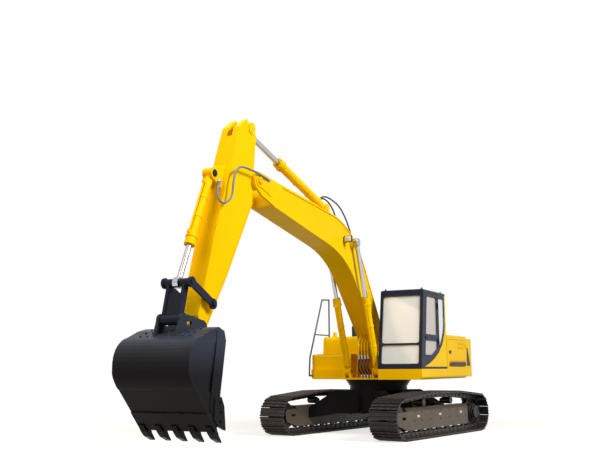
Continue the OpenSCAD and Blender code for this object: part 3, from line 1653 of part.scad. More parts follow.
module adapter_2d() {
    polygon(lip_pts([[-adapter_legs[0], wrapper_t + clear], [clear, wrapper_t + clear],
        [clear, -lip_out - clear], [-adapter_legs[1], -lip_out - clear],
        [-adapter_legs[1], -lip_out - leg_end_t], [0, -lip_out - leg_t[1]],
        [adapter_l, lip_mid - nose_h * half], [adapter_l, lip_mid + nose_h * half],
        [0, wrapper_t + leg_t[0]], [-adapter_legs[0], wrapper_t + leg_end_t]]));
}

module tip_2d() {
    polygon(lip_pts([[adapter_l, lip_mid - nose_h * half], [tip_s, tip_n - tip_t * half],
        [tip_s, tip_n + tip_t * half], [adapter_l, lip_mid + nose_h * half]]));
}

tip_w = 84;

module teeth() {
    color(slate)
        for (i = [0 : tooth_count - 1])
            translate([0, tooth_y(i), 0]) {
                middle_slab(tooth_w) adapter_2d();
                middle_slab(tip_w) tip_2d();
            }
}

// Hoses: rings swept along points in space
hose_r = 18;
hose_sides = 8;
hose_ref = [0.5, 0.6, 0.62];
function unit(v) = v / norm(v);
function hose_dir(p, i) = unit(p[min(i + 1, len(p) - 1)] - p[max(i - 1, 0)]);
function hose_ring(p, i) = let (t = hose_dir(p, i), u = unit(cross(t, hose_ref)), v = cross(t, u))
    [for (k = [0 : hose_sides - 1]) p[i] + hose_r * (u * cos(k * 360 / hose_sides) + v * sin(k * 360 / hose_sides))];

module hose(p) {
    n = len(p);
    rings = [for (i = [0 : n - 1]) each hose_ring(p, i)];
    sides = [for (i = [0 : n - 2]) for (k = [0 : hose_sides - 1])
        [i * hose_sides + k, (i + 1) * hose_sides + k, (i + 1) * hose_sides + (k + 1) % hose_sides,
            i * hose_sides + (k + 1) % hose_sides]];
    caps = [[for (k = [0 : hose_sides - 1]) k], [for (k = [hose_sides - 1 : -1 : 0]) (n - 1) * hose_sides + k]];
    polyhedron(rings, concat(sides, caps));
}

// Hoses from the bay up to the underside of the boom
foot_hose_n = 4;
foot_hose_gap = 70;
foot_hose_start = [640, deck_z + plate_t];
foot_hose_bow = [960, 1900];
foot_port_share = 0.62;
boom_under = boom_pts([boom_low_shares[0], boom_low_shares[1]]);
foot_port = mix(boom_under[0], boom_under[1], foot_port_share);
foot_port_a = slope(boom_under[0], boom_under[1]) - 90;
port_l = 4 * hose_r;
foot_hose_line = concat([foot_hose_start], curve(foot_hose_start + [0, port_l], foot_hose_bow,
    foot_port + polar(port_l, foot_port_a), 12), [foot_port]);

module foot_hoses() {
    color(dark)
        for (i = [0 : foot_hose_n - 1])
            hose([for (p = foot_hose_line) [p[0], (i - (foot_hose_n - 1) * half) * foot_hose_gap, p[1]]]);
}

// Hose from the arm's cylinder lug to the boom's cheek, in a loose loop past the arm pin:
// shares along and across the arm, and of its half width to the side
arm_hose_seat_share = [0.239, 0.256];
arm_hose_shares = [[0.252, 0.26, 0.86], [0.285, 0.268, 0.98], [0.32, 0.269, 1.08], [0.35, 0.262, 1.22],
    [0.368, 0.247, 1.38], [0.372, 0.226, 1.5], [0.352, 0.205, 1.58], [0.313, 0.187, 1.62], [0.268, 0.187, 1.62],
    [0.222, 0.206, 1.62], [0.171, 0.223, 1.62], [0.128, 0.222, 1.62], [0.093, 0.203, 1.62], [0.064, 0.172, 1.62],
    [0.032, 0.12, 1.62], [-0.003, 0.061, 1.62], [-0.03, 0.006, 1.6]];
arm_hose_port_share = [0.96, 0.03];
function in_space(p, y) = [p[0], y, p[1]];
arm_hose_seat = arm_pt(arm_hose_seat_share);
arm_hose_face = base_lug_y + base_lug_t;
arm_hose_port = boom_pt(arm_hose_port_share);
arm_hose_run = [for (s = arm_hose_shares) in_space(arm_pt([s[0], s[1]]), s[2] * arm_half_w)];
arm_hose_from = arm_hose_run[len(arm_hose_run) - 1];
arm_hose_turn = in_space(arm_hose_port, arm_hose_from[1]);

module arm_hoses() {
    color(dark)
        hose(concat([in_space(arm_hose_seat, arm_hose_face), in_space(arm_hose_seat, arm_hose_face + hose_r)],
            arm_hose_run, tail_of(curve(arm_hose_from, arm_hose_turn,
            in_space(arm_hose_port, boom_half_w + hose_r), 4)), [in_space(arm_hose_port, boom_half_w)]));
}

center_frame();
track_frame_left();
track_frame_right();
track_left();
track_right();
sprockets();
idlers();
lower_rollers();
upper_rollers();
swing_bearing();
main_frame();
house_pins();
counterweight();
engine();
engine_housing();
hood();
left_side_door();
right_side_door();
fuel_tank();
filler_cap();
tool_box();
handrail();
exhaust();
cab_floor();
cab_roof();
cab_front();
cab_right();
cab_rear();
cab_left();
cab_quarter();
cab_glass();
cab_door();
door_glass();
seat();
consoles();
boom();
boom_pins();
boom_pipes();
work_lamp();
boom_barrels();
boom_rods();
arm_barrel();
arm_rod();
arm();
arm_pins();
bucket_barrel();
bucket_rod();
idler_links();
bucket_link();
bucket();
teeth();
foot_hoses();
arm_hoses();
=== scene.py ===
"""Looks of the crawler excavator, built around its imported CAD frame."""
import json
import math

import bmesh
import bpy
from mathutils import Matrix, Vector


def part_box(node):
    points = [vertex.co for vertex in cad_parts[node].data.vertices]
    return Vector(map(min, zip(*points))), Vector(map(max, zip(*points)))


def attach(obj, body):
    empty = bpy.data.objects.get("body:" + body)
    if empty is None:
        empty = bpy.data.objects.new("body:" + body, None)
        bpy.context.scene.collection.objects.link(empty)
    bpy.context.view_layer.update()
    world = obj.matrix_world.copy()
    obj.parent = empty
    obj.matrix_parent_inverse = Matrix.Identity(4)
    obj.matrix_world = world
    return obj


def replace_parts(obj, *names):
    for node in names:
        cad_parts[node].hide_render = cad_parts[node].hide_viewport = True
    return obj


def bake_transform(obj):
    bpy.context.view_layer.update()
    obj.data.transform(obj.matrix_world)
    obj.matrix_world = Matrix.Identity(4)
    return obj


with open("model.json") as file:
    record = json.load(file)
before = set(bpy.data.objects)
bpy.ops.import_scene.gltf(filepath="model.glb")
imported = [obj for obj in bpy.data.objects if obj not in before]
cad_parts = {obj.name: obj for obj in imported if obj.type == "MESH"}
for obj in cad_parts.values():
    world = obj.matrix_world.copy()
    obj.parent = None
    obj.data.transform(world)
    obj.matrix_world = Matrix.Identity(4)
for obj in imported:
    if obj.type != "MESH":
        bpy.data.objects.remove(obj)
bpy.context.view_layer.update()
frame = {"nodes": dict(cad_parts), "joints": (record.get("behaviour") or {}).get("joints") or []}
NODES = frame["nodes"]

# Camera, solved from the photograph

CAMERA_AT = Vector((16.503, 6.886, 1.339))
CAMERA_YAW = math.radians(208.06)
CAMERA_PITCH = math.radians(9.57)
CAMERA_ROLL = math.radians(-0.31)
CAMERA_LENS = 48.95
CAMERA_SENSOR = 36
CAMERA_SHIFT = (0.0017, 0.011)
CAMERA_REACH = 300


def set_camera():
    flat = math.cos(CAMERA_PITCH)
    forward = Vector((flat * math.cos(CAMERA_YAW), flat * math.sin(CAMERA_YAW),
                      math.sin(CAMERA_PITCH)))
    level = Vector((math.sin(CAMERA_YAW), -math.cos(CAMERA_YAW), 0))
    upright = level.cross(forward)
    right = math.cos(CAMERA_ROLL) * level + math.sin(CAMERA_ROLL) * upright
    up = math.cos(CAMERA_ROLL) * upright - math.sin(CAMERA_ROLL) * level
    data = bpy.data.cameras.new("camera")
    data.lens = CAMERA_LENS
    data.sensor_width = CAMERA_SENSOR
    data.shift_x, data.shift_y = CAMERA_SHIFT
    data.clip_end = CAMERA_REACH
    camera = bpy.data.objects.new("camera", data)
    turn = Matrix((right, up, -forward)).transposed().to_4x4()
    camera.matrix_world = Matrix.Translation(CAMERA_AT) @ turn
    bpy.context.scene.collection.objects.link(camera)
    bpy.context.scene.camera = camera


# Materials

EDGE_SAMPLES = 4
EDGE_COSINES = (0.80, 0.99)


class Graph:
    """A material's node tree with short calls for the nodes used here."""

    def __init__(self, name):
        self.material = bpy.data.materials.new(name)
        self.material.use_nodes = True
        self.tree = self.material.node_tree
        self.shader = self.tree.nodes["Principled BSDF"]
        self.coords = self.tree.nodes.new("ShaderNodeTexCoord").outputs["Object"]

    def link(self, source, target):
        self.tree.links.new(source, target)

    def noise(self, scale, detail=5.0, roughness=0.6):
        node = self.tree.nodes.new("ShaderNodeTexNoise")
        node.inputs["Scale"].default_value = scale
        node.inputs["Detail"].default_value = detail
        node.inputs["Roughness"].default_value = roughness
        self.link(self.coords, node.inputs["Vector"])
        return node.outputs["Fac"]

    def ramp(self, source, low, high, a=0.0, b=1.0):
        """The source's stretch from low to high, spread from a to b."""
        node = self.tree.nodes.new("ShaderNodeMapRange")
        node.clamp = True
        for name, value in (("From Min", low), ("From Max", high), ("To Min", a), ("To Max", b)):
            node.inputs[name].default_value = value
        self.link(source, node.inputs["Value"])
        return node.outputs["Result"]

    def mix(self, factor, a, b):
        """From a to b by factor; each is a colour or an output."""
        node = self.tree.nodes.new("ShaderNodeMix")
        node.data_type = "RGBA"
        self.link(factor, node.inputs["Factor"])
        for value, socket in ((a, node.inputs["A"]), (b, node.inputs["B"])):
            if isinstance(value, tuple):
                socket.default_value = (*value, 1.0)
            else:
                self.link(value, socket)
        return node.outputs["Result"]

    def product(self, a, b):
        node = self.tree.nodes.new("ShaderNodeMath")
        node.operation = "MULTIPLY"
        node.use_clamp = True
        self.link(a, node.inputs[0])
        self.link(b, node.inputs[1])
        return node.outputs["Value"]

    def low_part(self, low, high):
        """1 at heights below low, 0 above high, in the row frame."""
        split = self.tree.nodes.new("ShaderNodeSeparateXYZ")
        self.link(self.coords, split.inputs["Vector"])
        return self.ramp(split.outputs["Z"], low, high, 1.0, 0.0)

    def edges(self, radius):
        """Rounded normals at edges, and a mask that is 1 on the edges."""
        bevel = self.tree.nodes.new("ShaderNodeBevel")
        bevel.samples = EDGE_SAMPLES
        bevel.inputs["Radius"].default_value = radius
        flat = self.tree.nodes.new("ShaderNodeNewGeometry")
        dot = self.tree.nodes.new("ShaderNodeVectorMath")
        dot.operation = "DOT_PRODUCT"
        self.link(bevel.outputs["Normal"], dot.inputs[0])
        self.link(flat.outputs["Normal"], dot.inputs[1])
        mask = self.ramp(dot.outputs["Value"], *EDGE_COSINES, 1.0, 0.0)
        return bevel.outputs["Normal"], mask

    def bump(self, height, strength, distance, normal=None):
        node = self.tree.nodes.new("ShaderNodeBump")
        node.inputs["Strength"].default_value = strength
        node.inputs["Distance"].default_value = distance
        self.link(height, node.inputs["Height"])
        if normal is not None:
            self.link(normal, node.inputs["Normal"])
        self.link(node.outputs["Normal"], self.shader.inputs["Normal"])

    def set(self, **values):
        for name, value in values.items():
            self.shader.inputs[name.replace("_", " ")].default_value = value


# Scales of the noises in 1/m, and the stretches of them that are spread from 0 to 1
TONE_SCALE, TONE_RANGE = 1.3, (0.35, 0.7)
PATCH_NOISE = (8.0, 0.7)
CHIP_SCALE, CHIP_START, CHIP_SPREAD, CHIP_END = 22.0, 0.62, 0.3, 0.72
DUST_SCALE, DUST_RANGE = 5.0, (0.35, 0.75)
GLOSS_SCALE, GLOSS_RANGE = 9.0, (0.3, 0.75)
SKIN_SCALE, SKIN_STRENGTH, SKIN_DEPTH = 160.0, 0.05, 0.002
GRAIN_SCALE, GRAIN_STRENGTH, GRAIN_DEPTH = 60.0, 0.04, 0.001
METAL_BEVEL = 0.003
CLOUD_SCALE, CLOUD_RANGE = 4.0, (0.3, 0.7)
SOFT_STRENGTH = 0.25
HAZE_SCALE, HAZE_SHADE, HAZE_ROUGH = 2.2, 0.93, (0.03, 0.09)


def coated(name, colour, shade, wear, rough=0.35, bevel=0.006, wear_share=0.35, gloss=0.3,
           dust=None, painted_sheen_fade=None):
    """Paint: two tones, worn edges, uneven gloss and a fine skin.

    Dust, and the fade that leaves a painted sheen above its heights, are (colour, low, high) and
    lie on what is below those heights.
    """
    g = Graph(name)
    normal, edge = g.edges(bevel)
    tone = g.mix(g.ramp(g.noise(TONE_SCALE), *TONE_RANGE), colour, shade)
    # Below its heights the fade turns to the plain near-black paint, so the lighter base colour
    # above stays as a painted sheen
    if painted_sheen_fade:
        below_sheen_colour, low, high = painted_sheen_fade
        tone = g.mix(g.low_part(low, high), tone, below_sheen_colour)
    chips = g.ramp(g.noise(CHIP_SCALE, *PATCH_NOISE), CHIP_START - wear_share * CHIP_SPREAD,
                   CHIP_END)
    tone = g.mix(g.product(edge, chips), tone, wear)
    if dust:
        dust_colour, low, high = dust
        patches = g.ramp(g.noise(DUST_SCALE, *PATCH_NOISE), *DUST_RANGE)
        tone = g.mix(g.product(g.low_part(low, high), patches), tone, dust_colour)
    g.link(tone, g.shader.inputs["Base Color"])
    uneven = g.ramp(g.noise(GLOSS_SCALE, 6.0), *GLOSS_RANGE, rough - 0.07, rough + 0.1)
    g.link(uneven, g.shader.inputs["Roughness"])
    g.bump(g.noise(SKIN_SCALE, 2.0), SKIN_STRENGTH, SKIN_DEPTH, normal)
    g.set(Specular_IOR_Level=gloss)
    return g.material


def metal(name, colour, shade, rough):
    """Bare metal with a fine grain."""
    g = Graph(name)
    normal, _ = g.edges(METAL_BEVEL)
    grain = g.noise(GRAIN_SCALE, 4.0)
    g.link(g.mix(g.ramp(grain, *TONE_RANGE), colour, shade), g.shader.inputs["Base Color"])
    g.link(g.ramp(grain, *GLOSS_RANGE, rough, rough + 0.12), g.shader.inputs["Roughness"])
    g.bump(grain, GRAIN_STRENGTH, GRAIN_DEPTH, normal)
    g.set(Metallic=1.0)
    return g.material


def soft(name, colour, shade, rough, scale, depth):
    """Rubber, plastic or cloth; scale and depth are those of its grain."""
    g = Graph(name)
    grain = g.noise(scale, 3.0)
    tone = g.mix(g.ramp(g.noise(CLOUD_SCALE), *CLOUD_RANGE), colour, shade)
    g.link(tone, g.shader.inputs["Base Color"])
    g.link(g.ramp(grain, *CLOUD_RANGE, rough - 0.08, rough + 0.08), g.shader.inputs["Roughness"])
    g.bump(grain, SOFT_STRENGTH, depth)
    return g.material


def pane(name, colour, alpha):
    """A pane with a faint haze; on the cab panes its pale colour is painted reflection."""
    g = Graph(name)
    haze = g.noise(HAZE_SCALE, 4.0)
    darker = tuple(HAZE_SHADE * c for c in colour)
    g.link(g.mix(g.ramp(haze, *CLOUD_RANGE), colour, darker), g.shader.inputs["Base Color"])
    g.link(g.ramp(haze, *CLOUD_RANGE, *HAZE_ROUGH), g.shader.inputs["Roughness"])
    g.set(Alpha=alpha, IOR=1.5, Specular_IOR_Level=0.6)
    return g.material


YELLOW = coated("yellow_paint", (0.93, 0.60, 0.0), (0.90, 0.56, 0.0), (0.50, 0.30, 0.02),
                rough=0.36, gloss=0.03)
SLATE = coated("slate_paint", (0.011, 0.018, 0.042), (0.008, 0.013, 0.031), (0.10, 0.12, 0.16),
               rough=0.36, gloss=0.09)
# Bucket paint: its bluish base colour is a painted sky sheen on the upper parts; it fades to the
# near-black paint from 1.72 m down to 1.25 m
BUCKET = coated("bucket_paint", (0.030, 0.041, 0.062), (0.022, 0.030, 0.046), (0.10, 0.12, 0.15),
                rough=0.34, bevel=0.012, wear_share=0.6, gloss=0.06,
                painted_sheen_fade=((0.0035, 0.0035, 0.0045), 1.25, 1.72))
FRAME_PAINT = coated("frame_paint", (0.085, 0.068, 0.050), (0.060, 0.047, 0.035),
                     (0.24, 0.22, 0.20), rough=0.42, bevel=0.010,
                     dust=((0.13, 0.095, 0.065), 0.0, 0.75))
# Track steel: the bright edge wear, put on most edges, is partly real worn steel and partly a
# painted highlight on the grouser tops
TRACK = coated("track_steel", (0.014, 0.014, 0.017), (0.026, 0.021, 0.018), (0.46, 0.44, 0.42),
               rough=0.36, bevel=0.006, wear_share=0.9, dust=((0.060, 0.044, 0.032), -0.1, 0.4))
GREY_RAIL = coated("rail_grey", (0.070, 0.073, 0.078), (0.045, 0.047, 0.050), (0.5, 0.5, 0.5),
                   rough=0.4)
BLACK = coated("black_trim", (0.010, 0.010, 0.011), (0.016, 0.016, 0.017), (0.05, 0.05, 0.05),
               rough=0.5, bevel=0.002)
ORANGE = coated("orange_stripe", (0.75, 0.16, 0.01), (0.70, 0.14, 0.01), (0.5, 0.3, 0.1),
                rough=0.4, bevel=0.001)
REFLECTOR = coated("reflector", (0.72, 0.64, 0.38), (0.66, 0.58, 0.34), (0.2, 0.18, 0.15),
                   rough=0.4, bevel=0.002)
STEEL = metal("pin_steel", (0.50, 0.50, 0.51), (0.36, 0.35, 0.35), 0.30)
CHROME = metal("rod_chrome", (0.46, 0.47, 0.51), (0.40, 0.41, 0.45), 0.16)
ALLOY = metal("engine_alloy", (0.22, 0.22, 0.23), (0.14, 0.14, 0.14), 0.5)
RUBBER = soft("hose_rubber", (0.014, 0.014, 0.015), (0.022, 0.022, 0.022), 0.55, 220.0, 0.001)
HOSE_GREY = soft("hose_grey", (0.16, 0.18, 0.21), (0.12, 0.135, 0.16), 0.5, 220.0, 0.001)
PLASTIC = soft("trim_plastic", (0.022, 0.022, 0.024), (0.016, 0.016, 0.017), 0.5, 300.0, 0.0006)
CLOTH = soft("seat_cloth", (0.030, 0.030, 0.034), (0.020, 0.020, 0.022), 0.85, 500.0, 0.0012)
# Cab panes: their pale colours, shown at alpha 0.8 and 0.7, are painted reflection of the bright
# surround
GLASS = pane("pane_glass", (0.82, 0.93, 1.0), 0.80)
DOOR_GLASS = pane("door_pane", (0.70, 0.66, 0.63), 0.70)
LENS = pane("lamp_lens", (0.80, 0.80, 0.78), 0.75)

NODE_MATERIALS = {
    YELLOW: ["main_frame", "counterweight", "engine_housing", "hood", "left_side_door",
             "right_side_door", "boom_pipes", "fuel_tank", "filler_cap", "tool_box", "cab_left",
             "cab_rear", "boom", "boom_barrels", "arm_barrel", "arm", "bucket_barrel",
             "boom_pins"],
    SLATE: ["cab_floor", "cab_roof", "cab_front", "cab_right", "cab_quarter", "cab_door",
            "idler_links", "bucket_link", "arm_pins"],
    FRAME_PAINT: ["track_frame_left", "track_frame_right"],
    BUCKET: ["bucket", "teeth", "center_frame", "exhaust", "swing_bearing"],
    TRACK: ["track_left", "track_right", "sprockets", "idlers", "lower_rollers", "upper_rollers"],
    GREY_RAIL: ["handrail"],
    STEEL: ["house_pins", "work_lamp"],
    CHROME: ["boom_rods", "arm_rod", "bucket_rod"],
    ALLOY: ["engine"],
    RUBBER: ["foot_hoses", "arm_hoses"],
    CLOTH: ["seat"],
    PLASTIC: ["consoles"],
    GLASS: ["cab_glass"],
    DOOR_GLASS: ["door_glass"],
}


def dress_nodes():
    for material, names in NODE_MATERIALS.items():
        for name in names:
            data = NODES[name].data
            data.materials.clear()
            data.materials.append(material)


# Shapes

X, Y, Z = Vector((1, 0, 0)), Vector((0, 1, 0)), Vector((0, 0, 1))

# Profiles of a bolt as shares of its size
WASHER = ((0, 1.35), (0.2, 1.35))
BOLT_HEAD = ((0.2, 1.0), (0.75, 1.0), (0.9, 0.8))


def rectangle(a0, b0, a1, b1):
    return [(a0, b0), (a1, b0), (a1, b1), (a0, b1)]


def oblong(a, b):
    """A rectangle about the origin; a and b are half its sides."""
    return rectangle(-a, -b, a, b)


def circle(u, v, count, start=0.0):
    """Directions all round in the plane of u and v."""
    turns = [2 * math.pi * (k + start) / count for k in range(count)]
    return [math.cos(t) * u + math.sin(t) * v for t in turns]


class Shape:
    """Mesh parts gathered into one piece."""

    def __init__(self):
        self.mesh = bmesh.new()

    def faces(self, points, loops):
        verts = [self.mesh.verts.new(p) for p in points]
        for loop in loops:
            self.mesh.faces.new([verts[i] for i in loop])

    def prism(self, outline, origin, u, v, w):
        """An outline in the plane of u and v, drawn out along w."""
        n = len(outline)
        low = [origin + a * u + b * v for a, b in outline]
        ends = [tuple(reversed(range(n))), tuple(range(n, 2 * n))]
        sides = [(i, (i + 1) % n, n + (i + 1) % n, n + i) for i in range(n)]
        self.faces(low + [p + w for p in low], ends + sides)

    def slab(self, centre, size, edge):
        """A plate in the XZ plane with chamfered edges on both sides."""
        half = Vector(size) / 2
        levels = ((-half.y, edge), (-half.y + edge, 0), (half.y - edge, 0), (half.y, edge))
        self.rings([[centre + Vector((x, y, z)) for x, z in oblong(half.x - inset, half.z - inset)]
                    for y, inset in levels])

    def rings(self, rings, closed=False):
        """Skin between rings of points, with caps unless the rings close on themselves."""
        n, count = len(rings[0]), len(rings)
        points = [p for ring in rings for p in ring]
        loops = []
        for i in range(count if closed else count - 1):
            a, b = i * n, (i + 1) % count * n
            loops += [(a + k, a + (k + 1) % n, b + (k + 1) % n, b + k) for k in range(n)]
        if not closed:
            loops += [tuple(reversed(range(n))), tuple(range(len(points) - n, len(points)))]
        self.faces(points, loops)

    def lathe(self, origin, axis, profile, sides=16, ring=False):
        """A profile of (distance along the axis, radius) turned about the axis.

        A ring's profile closes on itself.
        """
        axis = axis.normalized()
        u = axis.orthogonal().normalized()
        spokes = circle(u, axis.cross(u), sides)
        self.rings([[origin + s * axis + r * spoke for spoke in spokes] for s, r in profile], ring)

    def bolt(self, at, axis, size):
        """A hexagon head on a washer."""
        for profile, sides in ((WASHER, 14), (BOLT_HEAD, 6)):
            self.lathe(at, axis, [(s * size, r * size) for s, r in profile], sides)

    def tube(self, path, radius, sides, closed=False):
        """A round tube along a path."""
        n = len(path)
        side = (path[1] - path[0]).orthogonal().normalized()
        rings = []
        for i, p in enumerate(path):
            ahead = path[(i + 1) % n] if closed else path[min(i + 1, n - 1)]
            behind = path[i - 1] if closed else path[max(i - 1, 0)]
            along = (ahead - behind).normalized()
            side = (side - along * side.dot(along)).normalized()
            rings.append([p + radius * spoke for spoke in circle(side, along.cross(side), sides)])
        self.rings(rings, closed)

    def done(self, name, material, body, slot, sharp=35.0):
        """The object, attached to body; body is None where the piece runs between two bodies, and
        it is then attached to none.
        """
        bmesh.ops.recalc_face_normals(self.mesh, faces=self.mesh.faces)
        data = bpy.data.meshes.new(name)
        self.mesh.to_mesh(data)
        self.mesh.free()
        data.polygons.foreach_set("use_smooth", [True] * len(data.polygons))
        data.set_sharp_from_angle(angle=math.radians(sharp))
        data.materials.append(material)
        obj = bpy.data.objects.new(name, data)
        bpy.context.scene.collection.objects.link(obj)
        if body:
            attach(obj, body)
        return obj


def bezier(a, b, c, n):
    return [(a.lerp(b, i / n)).lerp(b.lerp(c, i / n), i / n) for i in range(n + 1)]


def smooth_path(points, n):
    """A smooth curve through points, with n steps between neighbours."""
    path = []
    for i in range(len(points) - 1):
        a, b, c, d = (points[min(max(k, 0), len(points) - 1)] for k in (i - 1, i, i + 1, i + 2))
        for k in range(n):
            t = k / n
            path.append(0.5 * (2 * b + (c - a) * t + (2 * a - 5 * b + 4 * c - d) * t ** 2
                               + (3 * b - a - 3 * c + d) * t ** 3))
    return path + [points[-1]]


def fillet(points, radius, n=5):
    """Outline with its corners rounded; points are (a, b)."""
    out = []
    pts = [Vector(p) for p in points]
    for i, b in enumerate(pts):
        a, c = pts[i - 1], pts[(i + 1) % len(pts)]
        u, v = (a - b).normalized(), (c - b).normalized()
        d = radius / math.tan(u.angle(v) / 2)
        out += bezier(b + u * d, b, b + v * d, n)
    return out


class Line:
    """Places along and across the line between two pins, as shares of its length."""

    def __init__(self, start, end):
        self.start, self.along = start, end - start
        self.across = Vector((-self.along.z, 0, self.along.x))

    def at(self, a, b, y=0.0):
        return self.start + a * self.along + b * self.across + y * Y


PINS = {j["name"]: Vector(j["pos_m"]) for j in frame["joints"] if "pos_m" in j}
BOOM = Line(PINS["boom"], PINS["arm"])
ARM = Line(PINS["arm"], PINS["bucket"])

# Tracks: the loop runs round idler, upper rollers and sprocket, as in the solids

TRACK_YAW = math.radians(-8)
TRACK_TURN = Matrix.Rotation(TRACK_YAW, 3, "Z")
GAUGE = 2.590
IDLER = (1.695, 0.400)
SPROCKET = (-1.695, 0.400)
LOOP_CIRCLES = ((*IDLER, 0.360), (0.6102, 0.6797, 0.1653), (-0.6102, 0.6797, 0.1653),
                (*SPROCKET, 0.360))
LOOP_STEPS = 400
STEP_SLACK = 1e-9
SHOE_COUNT = 49
SHOE_W = 0.600
SHOE_T = 0.014
SHOE_ENDS = (0.015, 0.985)
SHOE_BOLT = 0.012
SHOE_BOLT_SHARES = (0.30, 0.70)
GROUSER_H = 0.026
GROUSER_SHARES = (0.09, 0.50, 0.91)
GROUSER_FOOT, GROUSER_CREST = 0.055, 0.022
LINK_H = 0.090
LINK_W = 0.036
LINK_TOP, LINK_DEPTH, LINK_CHAMFER = -0.002, 0.97, 0.018
LINK_ENDS, LINK_CORNERS = (0.03, 0.97), (0.13, 0.87)
RAIL_Y = 0.078
TRACK_PIN_R, TRACK_PIN_L = 0.026, 0.216


def loop_points():
    """Ends of the shoes along the track's loop, in the track's side plane."""
    centres = [Vector((x, z)) for x, z, _ in LOOP_CIRCLES]
    radii = [r for _, _, r in LOOP_CIRCLES]
    n = len(centres)
    normals, lines = [], []
    for i in range(n):
        step = centres[(i + 1) % n] - centres[i]
        fall = radii[i] - radii[(i + 1) % n]
        normals.append(math.atan2(step.y, step.x) - math.acos(fall / step.length))
        lines.append(math.sqrt(step.length ** 2 - fall ** 2))
    fine = []
    for i in range(n):
        sweep = (normals[i] - normals[i - 1]) % (2 * math.pi)
        for k in range(LOOP_STEPS):
            a = normals[i - 1] + sweep * k / LOOP_STEPS
            fine.append(centres[i] + radii[i] * Vector((math.cos(a), math.sin(a))))
        edge = centres[i] + radii[i] * Vector((math.cos(normals[i]), math.sin(normals[i])))
        run = Vector((-math.sin(normals[i]), math.cos(normals[i])))
        fine += [edge + run * lines[i] * k / LOOP_STEPS for k in range(LOOP_STEPS)]
    steps = [(b - a).length for a, b in zip(fine, fine[1:] + fine[:1])]
    pitch = sum(steps) / SHOE_COUNT
    points, gone, due = [], 0.0, 0.0
    for p, step in zip(fine, steps):
        while gone + STEP_SLACK >= due and len(points) < SHOE_COUNT:
            points.append(p)
            due += pitch
        gone += step
    return points


def shoe_outline(pitch):
    outline = [(end * pitch, 0.0) for end in SHOE_ENDS]
    top = SHOE_T + GROUSER_H
    for share in reversed(GROUSER_SHARES):
        outline += [((share + GROUSER_FOOT) * pitch, SHOE_T),
                    ((share + GROUSER_CREST) * pitch, top),
                    ((share - GROUSER_CREST) * pitch, top),
                    ((share - GROUSER_FOOT) * pitch, SHOE_T)]
    return outline


def link_outline(pitch):
    low = -LINK_DEPTH * LINK_H
    (end_a, end_b), (corner_a, corner_b) = LINK_ENDS, LINK_CORNERS
    return [(end_a * pitch, LINK_TOP), (end_a * pitch, low + LINK_CHAMFER),
            (corner_a * pitch, low), (corner_b * pitch, low),
            (end_b * pitch, low + LINK_CHAMFER), (end_b * pitch, LINK_TOP)]


def make_track(name, side):
    across = TRACK_TURN @ Y
    middle = TRACK_TURN @ Vector((0, side * GAUGE / 2, 0))
    points = loop_points()
    shape = Shape()
    for p, q in zip(points, points[1:] + points[:1]):
        pitch = (q - p).length
        run = TRACK_TURN @ Vector((q.x - p.x, 0, q.y - p.y)) / pitch
        out = across.cross(run)
        start = middle + TRACK_TURN @ Vector((p.x, 0, p.y))
        shape.prism(shoe_outline(pitch), start - across * SHOE_W / 2, run, out, across * SHOE_W)
        for s in (-1, 1):
            shape.prism(link_outline(pitch), start + across * (s * RAIL_Y - LINK_W / 2), run, out,
                        across * LINK_W)
        shape.lathe(start - across * TRACK_PIN_L / 2 - out * LINK_H / 2, across,
                    [(0, TRACK_PIN_R), (TRACK_PIN_L, TRACK_PIN_R)], 10)
        for s in (-1, 1):
            for share in SHOE_BOLT_SHARES:
                at = start + across * s * RAIL_Y + run * share * pitch + out * SHOE_T
                shape.bolt(at, out, SHOE_BOLT)
    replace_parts(shape.done(name + "_shoes", TRACK, "undercarriage", "track_steel", 25.0), name)


# Hoses

DECK_TOP = 1.152
HOSE_R = 0.018
HOSE_SIDES = 12
FERRULE = ((0, 0.030), (0.020, 0.030), (0.022, 0.024), (0.080, 0.024), (0.086, 0.019))
FERRULE_SINK = 0.02
NUT = ((0, 0.036), (0.020, 0.036), (0.022, 0.026), (0.040, 0.026), (0.044, 0.020))
FOOT_HOSE_N = 4
FOOT_HOSE_GAP = 0.070
FOOT_HOSE_START = Vector((0.640, 0, DECK_TOP))
FOOT_HOSE_BOW = Vector((0.900, 0, 1.360))
FOOT_HOSE_STRAIGHT = 4 * HOSE_R
FOOT_PIPE = ((0.620, 2.040), (0.690, 1.972), (0.765, 1.890), (0.795, 1.790), (0.790, 1.690),
             (0.770, 1.600))
FOOT_PIPE_R = 0.9 * HOSE_R


def make_foot_hoses():
    """Hoses from the deck to bent pipes under the boom."""
    pipe = smooth_path([Vector((x, 0, z)) for x, z in FOOT_PIPE], 4)
    end = pipe[-1]
    down = (pipe[-1] - pipe[-2]).normalized()
    bow = bezier(FOOT_HOSE_START + FOOT_HOSE_STRAIGHT * Z, FOOT_HOSE_BOW,
                 end + FOOT_HOSE_STRAIGHT * down, 22)
    line = [FOOT_HOSE_START] + bow + [end]
    ends = {"house": Shape(), "boom": Shape()}
    pipes = Shape()
    for i in range(FOOT_HOSE_N):
        y = (i - (FOOT_HOSE_N - 1) / 2) * FOOT_HOSE_GAP
        path = [p + y * Y for p in line]
        hose = Shape()
        hose.tube(path, HOSE_R, HOSE_SIDES)
        obj = hose.done("foot_hose_%d" % (i + 1), RUBBER, None, "hose_rubber")
        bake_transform(obj)
        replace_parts(obj, "foot_hoses")
        pipes.tube([p + y * Y for p in pipe], FOOT_PIPE_R, HOSE_SIDES)
        ends["house"].lathe(path[0], Z, FERRULE, HOSE_SIDES)
        ends["boom"].lathe(path[-1] - FERRULE_SINK * down, down, FERRULE, HOSE_SIDES)
    for body, shape in ends.items():
        shape.done(body + "_hose_ferrules", STEEL, body, "pin_steel")
    pipes.done("foot_pipes", YELLOW, "boom", "yellow_paint")


